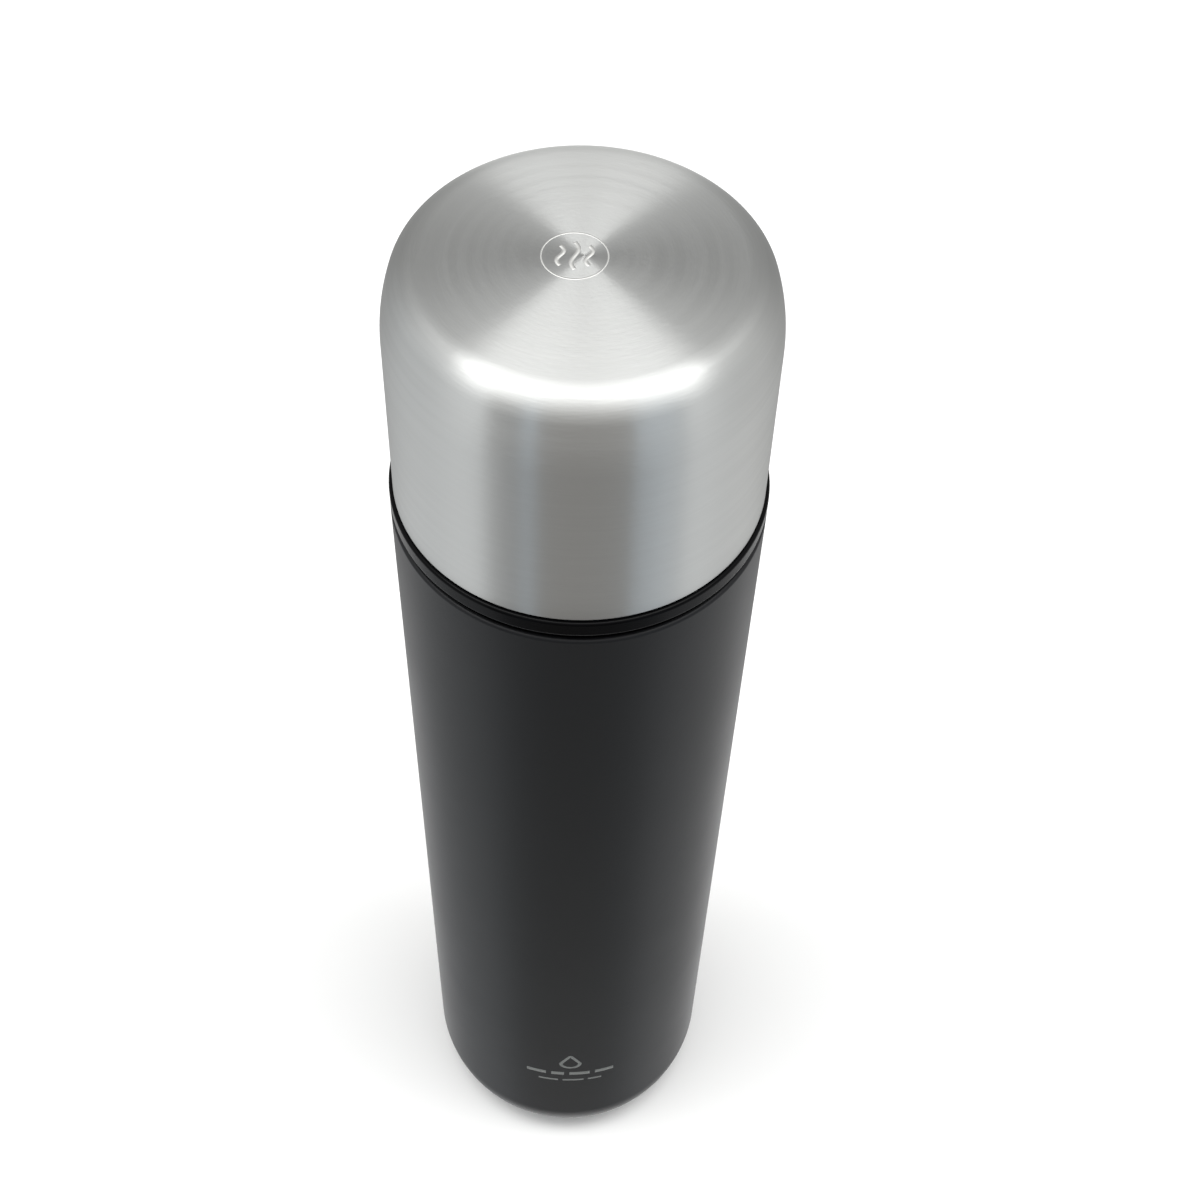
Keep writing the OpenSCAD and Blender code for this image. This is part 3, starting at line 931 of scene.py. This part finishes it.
    def build(self) -> None:
        """Makes and dresses every piece of the body."""
        dress(self.outer_shell(), BODY_PAINT, "flask", "outer_shell")
        dress(self.base_cover(), LINER_STEEL, "flask", "base_cover")
        dress(self.inner_bottle(), LINER_STEEL, "flask", "inner_bottle")
        dress(self.inner_base(), LINER_STEEL, "flask", "inner_base")
        dress(self.collar(), GLOSS_BLACK, "flask", "collar")
        for mark in self.prints():
            dress(mark, PRINT_INK, "flask")
        finish_node("outer_base", LINER_STEEL)
        finish_node("vacuum_seal", SOLDER)
        finish_node("getter", PELLET)
        finish_node("copper_foil", COPPER)


@dataclass
class Stopper:
    """The pouring stopper: plug, grip ring, cover, gasket, tabs, push button and valve.

    Attributes:
        at: The shared levels.
        grip_r: Radius of the grip ring.
        wall: Thickness of its wall.
        plug_r: Radius of the plug.
        plug_wall: Thickness of the plug's wall.
        seat_r: Radius of the valve's opening.
        button_r: Radius of the push button.
        stem_r: Radius of the stem.
        disc_r: Radius of the valve disc.
        cover_h: Height of the cover ring.
        roof: Thickness of the push button's top.
        plug_drop: How far the plug reaches below the mouth.
        stroke: How far the push button goes down; not used.
    """

    at: Levels
    grip_r: float = 27.2
    wall: float = 2.4
    plug_r: float = 21.4
    plug_wall: float = 1.8
    seat_r: float = 14.5
    button_r: float = 14.6
    stem_r: float = 3.0
    disc_r: float = 17.0
    cover_h: float = 2.2
    roof: float = 2.0
    plug_drop: float = 26.0
    stroke: float = 3.5

    def __post_init__(self) -> None:
        """Heights that follow from the mouth."""
        self.foot = self.at.mouth + 1.95
        self.chamber = self.foot + 1.65
        self.deck = self.chamber + 6.4
        self.deck_top = self.deck + 1.6
        self.top = self.deck + 8.4
        self.button_top = self.top + 5.2
        self.plug_low = self.at.mouth - self.plug_drop

    def neck_gasket(self) -> bpy.types.Object:
        """The silicone ring between the housing and the mouth, with two sealing beads on its edge.

        Returns:
            The object.
        """
        inner, outer, low = self.plug_r + 0.3, 25.6, self.at.mouth + 0.1
        outline = rounded([
            (inner, low, 0.2), (outer, low, 0.55), (outer - 0.2, low + 0.9, 0.1), (outer, low + 1.8, 0.55),
            (inner, low + 1.8, 0.2)])
        return turned("neck_gasket_ring", braced(outline, True, 0.05))

    def plug(self) -> bpy.types.Object:
        """The hollow threaded plug, with the valve's seat as its bottom.

        Returns:
            The object.
        """
        bore = self.plug_r - self.plug_wall
        low = self.plug_low
        thread = Thread(self.plug_r, 1.3, self.at.mouth - 16, 0.6)
        outline = joined(
            rounded([(self.seat_r, low + 2, 0), (self.seat_r, low, 0.4), (self.plug_r - 2, low, 0.8),
                     (self.plug_r, low + 2, 0.8), (self.plug_r, thread.bottom, 0)], closed=False),
            thread.stretch(),
            rounded([(self.plug_r, thread.top, 0), (self.plug_r, self.chamber, 0.3), (bore, self.chamber, 0.3),
                     (bore, low + 4, 0.8), (bore - 2, low + 2, 0.8), (self.seat_r, low + 2, 0)], closed=False)[:-1])
        return turned("threaded_plug", braced(outline, True), columns=240, shape=thread.raise_on)

    def cover(self) -> bpy.types.Object:
        """The ring that covers the mechanism, with a soft outer edge and a bevelled hole.

        Returns:
            The object.
        """
        hole, low = self.button_r + 0.4, self.top + 0.05
        high = low + self.cover_h
        edge = self.grip_r - 0.6
        outline = rounded([
            (hole, low, 0.1), (edge, low, 0.1), (edge, high, 1.2), (hole + 1.6, high, 0.3),
            (hole, high - 0.7, 0.3)], steps=8)
        return turned("stopper_cover_ring", braced(outline, True))

    def button(self) -> bpy.types.Object:
        """The push button: a dished top, a skirt with a stop flange, and a boss on the stem.

        Returns:
            The object.
        """
        low = self.deck_top + 3.7
        skirt, flange = self.button_r - 1.8, self.button_r + 1.2
        stop = self.top - 0.05
        roof = self.button_top - self.roof
        boss = self.stem_r + 1.8
        dish = self.button_top - 0.8
        outline = joined(
            [0.0, roof - 0.2],
            rounded([
                (0, roof - 0.2, 0), (self.stem_r + 0.05, roof - 0.2, 0.1), (self.stem_r + 0.05, roof - 5, 0.2),
                (boss, roof - 5, 0.3), (boss, roof, 0.5), (skirt, roof, 0.5), (skirt, low, 0.3),
                (self.button_r, low, 0.3), (self.button_r, stop - 1.5, 0.1), (flange, stop - 1.5, 0.3),
                (flange, stop, 0.3), (self.button_r, stop, 0.1), (self.button_r, self.button_top, 1.2),
                (self.button_r - 2.5, self.button_top, 2.5), (self.button_r - 6.5, dish, 6.0),
                (0, dish, 0)], steps=8, closed=False)[1:])
        return turned("push_button", braced(outline, False))

    def disc(self) -> bpy.types.Object:
        """The valve disc with its hub.

        Returns:
            The object.
        """
        top = self.plug_low - 1.6
        bore, hub = self.stem_r + 0.05, self.stem_r + 2.5
        outline = rounded([
            (bore, top - 5, 0.2), (hub, top - 5, 0.4), (hub, top - 2, 0.6), (self.disc_r, top - 2, 0.8),
            (self.disc_r, top, 0.2), (bore, top, 0.1)])
        return turned("valve_disc_plate", braced(outline, True))

    def valve_gasket(self) -> bpy.types.Object:
        """The flat silicone ring on the disc, with a raised sealing lip at its edge.

        Returns:
            The object.
        """
        top = self.plug_low - 0.1
        outline = rounded([
            (self.seat_r - 1.5, top - 1.45, 0.15), (self.disc_r - 0.4, top - 1.45, 0.15),
            (self.disc_r - 0.4, top, 0.5), (self.seat_r - 1.5, top, 0.4)])
        return turned("valve_gasket_ring", braced(outline, True, 0.05))

    def stem(self) -> bpy.types.Object:
        """The polished stem, bevelled at both ends.

        Returns:
            The object.
        """
        low, high = self.plug_low - 6, self.button_top - self.roof - 0.25
        outline = rounded([(0, low, 0), (self.stem_r, low, 0.5), (self.stem_r, high, 0.5), (0, high, 0)], closed=False)
        return turned("valve_stem_rod", braced(outline, False), closed=False, columns=64)

    def spring(self) -> bpy.types.Object:
        """The valve spring: a round wire on a helix, which stands on the deck under the button that presses it
        shorter; the coil is made once, at its full length.

        Formula: the wire's middle climbs by a smooth step from end to end, so that the first and last turns
        lie nearly flat; each ring of the tube lies in the plane of the helix's radius and the Z axis.

        Returns:
            The object.
        """
        turns, wire, coil = 4.0, 0.6, 7.0
        low = self.deck_top + wire + 0.05
        high = self.button_top - self.roof - wire - 0.05
        t = np.linspace(0, 1, 260)[:, None]
        climb = 0.35 * t + 0.65 * t * t * (3 - 2 * t)
        around = 2 * np.pi * turns * t
        section = np.linspace(0, 2 * np.pi, 14, endpoint=False)[None, :]
        reach_out = coil + wire * np.cos(section)
        middle = low + (high - low) * climb
        grid = np.stack([reach_out * np.cos(around), reach_out * np.sin(around),
                         middle + wire * np.sin(section)], axis=-1)
        piece = make_piece("valve_spring_coil", capped(grid)[:, ::-1], round_rows=False)
        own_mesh(piece)
        return piece

    def tab(self, name: str, side: float) -> bpy.types.Object:
        """A release tab's thumb pad and the block behind the wall, as one rounded block.

        Formula: each cross-section is a superellipse of power 8, whose half width falls smoothly from the
        block's to the pad's through the wall and closes over the last half millimetre at each end.

        Args:
            name: Name of the piece.
            side: 1 for the tab on +X, -1 for the one on -X.

        Returns:
            The object.
        """
        inner, outer = self.button_r + 3.2, self.grip_r + 0.6
        low, high = self.deck_top + 1.3, self.deck_top + 5.7
        shoulder = math.sqrt((self.grip_r - self.wall) ** 2 - 64) - 0.3
        along = np.concatenate([
            inner + 0.5 * (1 - np.cos(np.linspace(0, np.pi / 2, 8))),
            np.linspace(inner + 0.6, outer - 0.6, 60),
            outer - 0.5 * (1 - np.sin(np.linspace(0, np.pi / 2, 8)))])[:, None]
        near_end = np.clip(np.maximum(inner + 0.5 - along, along - outer + 0.5) / 0.5, 0, 1)
        close = np.sqrt(1 - near_end ** 2)
        step = np.clip((along - shoulder + 0.4) / 0.4, 0, 1)
        half_y = 8.0 - 2.2 * step - 0.5 * (1 - close)
        half_z = (high - low) / 2 - 0.5 * (1 - close)
        angle = np.linspace(0, 2 * np.pi, 96, endpoint=False)[None, :]
        c, s = np.cos(angle), np.sin(angle)
        y = half_y * np.sign(c) * np.abs(c) ** 0.25
        z = (low + high) / 2 + half_z * np.sign(s) * np.abs(s) ** 0.25
        x = np.minimum(np.broadcast_to(along, y.shape), np.sqrt(outer ** 2 - np.minimum(y, 8) ** 2))
        grid = capped(np.stack([x, y, z], axis=-1))
        if side < 0:
            grid = grid * [-1, -1, 1]
        return make_piece(name, grid[::-1], round_rows=False)

    def build(self) -> None:
        """Makes and dresses every piece of the stopper."""
        dress(self.neck_gasket(), SILICONE, "neck_seal", "neck_gasket")
        dress(self.plug(), MATT_BLACK, "stopper", "stopper_plug")
        dress(self.cover(), MATT_BLACK, "stopper", "stopper_cover")
        dress(self.tab("release_tab_pad_left", -1), CONTROL_GREY, "tab_left", "release_tab_left")
        dress(self.tab("release_tab_pad_right", 1), CONTROL_GREY, "tab_right", "release_tab_right")
        dress(self.button(), CONTROL_GREY, "valve", "press_button")
        dress(self.stem(), LINER_STEEL, "valve", "valve_stem")
        dress(self.spring(), WIRE, "stopper", "valve_spring")
        dress(self.disc(), MATT_BLACK, "valve", "valve_disc")
        dress(self.valve_gasket(), SILICONE, "valve", "valve_gasket")
        finish_node("stopper_housing", MATT_BLACK)
        finish_node("stem_seal", SILICONE)


@dataclass
class Cup:
    """The drinking cup: brushed shell, steel bowl, threaded ring and seal.

    Attributes:
        at: The shared levels.
        rim_r: Outside radius at the rim.
        upper_r: Outside radius where the shoulder begins.
        shoulder_r: Radius of the shoulder's long curve.
        shoulder_break: Angle where it gives way to the top corner, in degrees.
        corner_r: Radius of the top corner.
        dome: Height of the spun top's crown.
        sheet: Thickness of the steel.
        bowl_r: Inside radius of the bowl.
        bowl_corner: Radius of the bowl's bottom corner.
        sleeve_r: Radius of the collar's sleeve, which the ring's thread grips.
        grip_r: Radius of the stopper, which the ring's lip clears.
        mark_clear: How far the visible top lies inside the model's, which leaves room for the mark.
        mark_r: Radius of the mark's ring.
        mark_place: (x, y) of its centre.
    """

    at: Levels
    rim_r: float = 35.2
    upper_r: float = 34.85
    shoulder_r: float = 39.7
    shoulder_break: float = 17.2
    corner_r: float = 6.4
    dome: float = 0.95
    sheet: float = 0.6
    bowl_r: float = 30.8
    bowl_corner: float = 8.0
    sleeve_r: float = 29.4
    grip_r: float = 27.2
    mark_clear: float = 0.02
    mark_r: float = 5.6
    mark_place: tuple[float, float] = (-1.6, 0.0)

    def __post_init__(self) -> None:
        """Places the crown: a parabola that leaves the top corner's arc along its tangent."""
        turn = math.radians(self.shoulder_break)
        centre_r = self.upper_r - self.shoulder_r * (1 - math.cos(turn)) - self.corner_r * math.cos(turn)
        self.tilt = math.atan(2 * self.dome / centre_r)
        self.crown_r = centre_r + self.corner_r * math.sin(self.tilt)
        self.rise = self.crown_r * math.tan(self.tilt) / 2
        self.apex = self.at.cup_top - self.mark_clear
        self.corner = (centre_r, self.apex - self.rise - self.corner_r * math.cos(self.tilt))

    def crown(self, radius: np.ndarray) -> np.ndarray:
        """Height of the top's outside at a radius: a parabola that is highest on the axis."""
        return self.apex - self.rise * (radius / self.crown_r) ** 2

    def wall_line(self, inset: float) -> np.ndarray:
        """The cup's side from above its rim to the middle of its top.

        Args:
            inset: Distance inside the outer surface.

        Returns:
            The points, going up and in.
        """
        turn = math.radians(self.shoulder_break)
        low = self.corner[1] + (self.corner_r - self.shoulder_r) * math.sin(turn)
        spread = np.linspace(1, 0, 15)[1:] * (self.crown_r - inset * math.sin(self.tilt))
        top = np.stack([spread, self.crown(spread) - inset], axis=1)
        return joined(
            arc((self.upper_r - self.shoulder_r, low), self.shoulder_r - inset, 0, self.shoulder_break, 16),
            arc(self.corner, self.corner_r - inset, self.shoulder_break, 90 - math.degrees(self.tilt), 24)[1:], top)

    def shell(self) -> bpy.types.Object:
        """The brushed outer shell, whose rim is rounded over.

        Returns:
            The object.
        """
        low, t = self.at.cup_low, self.sheet
        rim = rounded([
            (self.rim_r - t - 0.02, low + 1, 0), (self.rim_r - t - 0.02, low, 0.25), (self.rim_r, low, 0.28),
            (self.rim_r - 0.01, low + 1, 0)], steps=5, closed=False)
        outline = joined(self.wall_line(t)[::-1], rim, self.wall_line(0))
        return turned("brushed_cup_shell", braced(outline, False), closed=False, columns=320)

    def liner(self) -> bpy.types.Object:
        """The bowl: a straight wall, a rounded bottom and a small flange on the thread ring.

        Returns:
            The object.
        """
        low, t = self.at.mouth + 2.05, self.sheet
        floor = self.at.cup_top - 6
        flange = self.rim_r - 1.0
        corner = (self.bowl_r - self.bowl_corner, floor - self.bowl_corner)
        outline = joined(
            [0.0, floor], arc(corner, self.bowl_corner, 90, 0), [self.bowl_r, low + 0.2], [self.bowl_r + 0.2, low],
            [flange, low], [flange, low + t], [self.bowl_r + t, low + t], arc(corner, self.bowl_corner + t, 0, 90),
            [0.0, floor + t])
        return turned("cup_bowl", braced(outline, False), closed=False, columns=224)

    def thread_ring(self) -> bpy.types.Object:
        """The black ring inside the rim, with the thread that grips the collar.

        Returns:
            The object.
        """
        a = self.at
        outer = self.rim_r - self.sheet - 0.25
        bore = self.sleeve_r + 1.6
        low, high = a.cup_low + 0.2, a.mouth + 2
        lip = self.grip_r + 1.3
        seat = a.sleeve_top + 1.65
        thread = Thread(bore, self.sleeve_r + 0.3 - bore, a.rim_top + 3.6 - 2.2, 0.55)
        heights = thread.stretch()
        heights = heights[heights[:, 1] > low + 0.6]
        outline = joined(
            rounded([(bore, low + 1, 0), (bore, low, 0.4), (outer, low, 0.5), (outer, high, 0.3), (lip, high, 0.4),
                     (lip, seat, 0.3), (bore, seat, 0.1), (bore, thread.top, 0)], closed=False)[1:],
            heights[::-1])
        return turned("cup_thread_collar", braced(outline, True), columns=288, shape=thread.raise_on)

    def seal(self) -> bpy.types.Object:
        """The soft ring between the cup and the collar.

        Returns:
            The object.
        """
        inner, outer = self.grip_r + 1, self.sleeve_r + 1.3
        low = self.at.sleeve_top + 0.1
        outline = rounded([(inner, low, 0.4), (outer, low, 0.4), (outer, low + 1.5, 0.3), (inner, low + 1.5, 0.3)])
        return turned("cup_seal_ring", braced(outline, True, 0.05))

    def on_crown(self, flat: np.ndarray, lift: float) -> np.ndarray:
        """Lays (x, y) points on the crown, raised by a lift."""
        return np.column_stack([flat, self.crown(np.linalg.norm(flat, axis=1)) + lift])

    def marks(self) -> list[bpy.types.Object]:
        """The etched mark on the top: a ring round three steam lines.

        Returns:
            The ring and the lines.
        """
        around = np.linspace(0, 2 * np.pi, 120, endpoint=False)
        centre = np.array(self.mark_place)
        ring = centre + self.mark_r * np.stack([np.cos(around), np.sin(around)], axis=1)
        out = [ribbon("etched_ring", ring, 0.3, True, self.on_crown)]
        t = np.linspace(-1, 1, 40)
        for k, (place, half) in enumerate(((-2.4, 2.4), (0.0, 3.3), (2.4, 2.4))):
            wave = centre + np.stack([place + 0.6 * np.sin(t * np.pi), half * t], axis=1)
            out.append(ribbon(f"etched_steam_{k + 1}", wave, 0.75, False, self.on_crown))
        return out

    def build(self) -> None:
        """Makes and dresses every piece of the cup."""
        dress(self.shell(), CUP_STEEL, "cup", "cup_shell")
        dress(self.liner(), LINER_STEEL, "cup", "cup_liner")
        dress(self.thread_ring(), GLOSS_BLACK, "cup", "cup_thread_ring")
        dress(self.seal(), SILICONE, "cup_gasket", "cup_seal")
        for mark in self.marks():
            dress(mark, ETCHED, "cup")


# ---------------------------------------------------------------- studio


class Band(Enum):
    """Bands of the room by height: each holds (azimuth in degrees, brightness, tint) from back left to back right.

    Azimuth 0 is the front and 90 the right. The tint moves red down and blue up by its value.
    """

    HIGH = ((-180, 0.62, 0.0), (-140, 0.74, 0.0), (-110, 1.55, 0.0), (-60, 1.60, 0.0), (0, 1.02, 0.0), (60, 1.50, 0.0),
            (110, 1.50, 0.0), (140, 0.74, 0.0), (180, 0.62, 0.0))
    MIDDLE = ((-180, 0.34, 0.0), (-140, 0.40, 0.0), (-105, 0.80, 0.02), (-51, 0.80, 0.02), (-45, 0.24, 0.0),
              (-31, 0.21, 0.0), (-28, 0.48, 0.14), (-23, 0.48, 0.14), (-20, 0.20, -0.06), (26, 0.20, -0.06),
              (29, 0.52, 0.11), (47, 0.54, 0.10), (50, 0.44, 0.07), (58, 0.80, 0.02), (105, 0.80, 0.0),
              (140, 0.40, 0.0), (180, 0.34, 0.0))
    NEAR = ((-180, 0.60, 0.0), (-140, 0.60, 0.0), (-105, 0.84, 0.02), (-52, 0.84, 0.02), (-42, 0.56, 0.02),
            (0, 0.52, -0.02), (31, 0.56, 0.05), (54, 0.84, 0.04), (105, 0.84, 0.0), (140, 0.60, 0.0),
            (180, 0.60, 0.0))
    LOW = ((-180, 1.65, 0.0), (-140, 1.60, 0.0), (-115, 0.78, 0.02), (-56, 0.68, 0.04), (-47, 0.22, 0.06),
           (-20, 0.13, -0.03), (20, 0.13, -0.03), (50, 0.24, 0.05), (62, 0.66, 0.02), (115, 0.85, 0.0),
           (140, 1.75, 0.0), (180, 1.65, 0.0))
    UNDER = ((-180, 1.60, 0.0), (-110, 1.60, 0.0), (-60, 1.80, 0.0), (60, 1.80, 0.0), (110, 1.60, 0.0),
             (180, 1.60, 0.0))

    def stops(self) -> list[tuple[float, tuple]]:
        """The band as places and colours of a ramp."""
        return [(0.5 + turn / 360, (tone * (1 - tint), tone, tone * (1 + tint), 1.0))
                for turn, tone, tint in self.value]


@dataclass
class Studio:
    """A pale floor, a big soft light overhead and a plain bright room with a darker opening in front.

    Attributes:
        floor_half: Half the floor's side, in metres.
        light_size: Sides of the overhead light, in metres.
        light_place: Its centre, in metres.
        light_power: Its power, in watts.
    """

    floor_half: float = 12.0
    light_size: tuple[float, float] = (1.8, 0.42)
    light_place: tuple[float, float, float] = (0.0, -0.10, 1.35)
    light_power: float = 11.8

    def floor(self) -> None:
        """A matt pale floor just under the flask; shiny surfaces see the room's lowest band in its place."""
        h = self.floor_half
        mesh = bpy.data.meshes.new("studio_floor")
        mesh.from_pydata([(-h, -h, 0), (h, -h, 0), (h, h, 0), (-h, h, 0)], [], [(0, 1, 2, 3)])
        mesh.transform(Matrix.Translation((0, 0, -0.05 * MM)))
        piece = bpy.data.objects.new("studio_floor", mesh)
        piece.visible_glossy = False
        bpy.context.scene.collection.objects.link(piece)
        paper = bpy.data.materials.new("studio_paper")
        paper.use_nodes = True
        shader = paper.node_tree.nodes["Principled BSDF"]
        shader.inputs["Base Color"].default_value = linear("F4F4F3")
        shader.inputs["Roughness"].default_value = 0.9
        shader.inputs["Specular IOR Level"].default_value = 0.1
        mesh.materials.append(paper)

    def light(self) -> None:
        """The overhead softbox."""
        lamp = bpy.data.lights.new("softbox", "AREA")
        lamp.shape = "RECTANGLE"
        lamp.size, lamp.size_y = self.light_size
        lamp.energy = self.light_power
        piece = bpy.data.objects.new("softbox", lamp)
        piece.location = self.light_place
        bpy.context.scene.collection.objects.link(piece)

    def room(self) -> None:
        """The room's brightness by direction.

        Formula: the azimuth, as a share of a turn, reads a tone from the ramp of each band, and smooth steps in
        the direction's height blend each band into the next. Seen directly, the room is a plain pale wall.
        """
        world = bpy.data.worlds.new("studio_room")
        bpy.context.scene.world = world
        world.use_nodes = True
        tree = world.node_tree
        back = tree.nodes["Background"]
        where = add_node(tree, "TexCoord")
        parts = add_node(tree, "SeparateXYZ", None, {0: where.outputs["Generated"]})
        ahead = add_node(tree, "Math", {"operation": "MULTIPLY"}, {0: parts.outputs["Y"], 1: -1.0})
        azimuth = add_node(tree, "Math", {"operation": "ARCTAN2"}, {0: parts.outputs["X"], 1: ahead.outputs[0]})
        share = add_node(tree, "MapRange", None, {
            "Value": azimuth.outputs[0], "From Min": -math.pi, "From Max": math.pi, "To Min": 0.0, "To Max": 1.0})
        tone = None
        for band, low, high in ((Band.UNDER, 0.0, 0.0), (Band.LOW, -1.0, -0.95), (Band.NEAR, -0.83, -0.75),
                                (Band.MIDDLE, -0.72, -0.55), (Band.HIGH, 0.45, 0.72)):
            ramp = add_node(tree, "ValToRGB", None, {0: share.outputs["Result"]})
            set_ramp(ramp, band.stops())
            if tone is None:
                tone = ramp.outputs["Color"]
                continue
            step = add_node(tree, "MapRange", {"interpolation_type": "SMOOTHSTEP"}, {
                "Value": parts.outputs["Z"], "From Min": low, "From Max": high, "To Min": 0.0, "To Max": 1.0})
            mix = add_node(tree, "Mix", {"data_type": "RGBA"}, {
                0: step.outputs["Result"], 6: tone, 7: ramp.outputs["Color"]})
            tone = mix.outputs[2]
        direct = add_node(tree, "LightPath").outputs["Is Camera Ray"]
        plain = add_node(tree, "Mix", {"data_type": "RGBA"}, {0: direct, 6: tone, 7: linear("F6F6F5")})
        tree.links.new(plain.outputs[2], back.inputs["Color"])
        back.inputs["Strength"].default_value = 1.0

    def build(self) -> None:
        """Sets up the floor, the light and the room."""
        self.floor()
        self.light()
        self.room()
        bpy.context.scene.view_settings.view_transform = "Standard"


@dataclass
class Viewpoint:
    """The camera: where it stands and how it is turned, in millimetres and degrees.

    Attributes:
        place: The camera's place.
        yaw: Turn to the right of +Y.
        pitch: Tilt below the horizon.
        roll: Turn about the line of sight.
        lens: Focal length for a sensor 36 mm wide.
    """

    place: tuple[float, float, float] = (0.0, -227.8, 504.0)
    yaw: float = 1.2
    pitch: float = 52.97
    roll: float = 2.23
    lens: float = 55.05

    def build(self) -> None:
        """Makes the camera and sets it as the scene's."""
        yaw, pitch, roll = (math.radians(v) for v in (self.yaw, self.pitch, self.roll))
        ahead = np.array([math.sin(yaw) * math.cos(pitch), math.cos(yaw) * math.cos(pitch), -math.sin(pitch)])
        level = np.array([math.cos(yaw), -math.sin(yaw), 0.0])
        up = np.cross(level, ahead)
        right = math.cos(roll) * level + math.sin(roll) * up
        top = math.cos(roll) * up - math.sin(roll) * level
        turn = Matrix([[float(v) for v in row] for row in np.column_stack([right, top, -ahead])]).to_4x4()
        data = bpy.data.cameras.new("camera")
        data.lens = self.lens
        data.sensor_width = 36.0
        data.clip_start = 0.01
        camera = bpy.data.objects.new("camera", data)
        camera.matrix_world = Matrix.Translation([v * MM for v in self.place]) @ turn
        bpy.context.scene.collection.objects.link(camera)
        bpy.context.scene.camera = camera


def main() -> None:
    """Builds the studio and the flask in order."""
    logging.basicConfig(level=logging.INFO, format="%(name)s: %(message)s")
    Viewpoint().build()
    Studio().build()
    levels = Levels()
    for part in (FlaskBody(levels), Stopper(levels), Cup(levels)):
        part.build()
        LOG.info("%s is done", type(part).__name__)


if __name__ == "__main__":
    main()
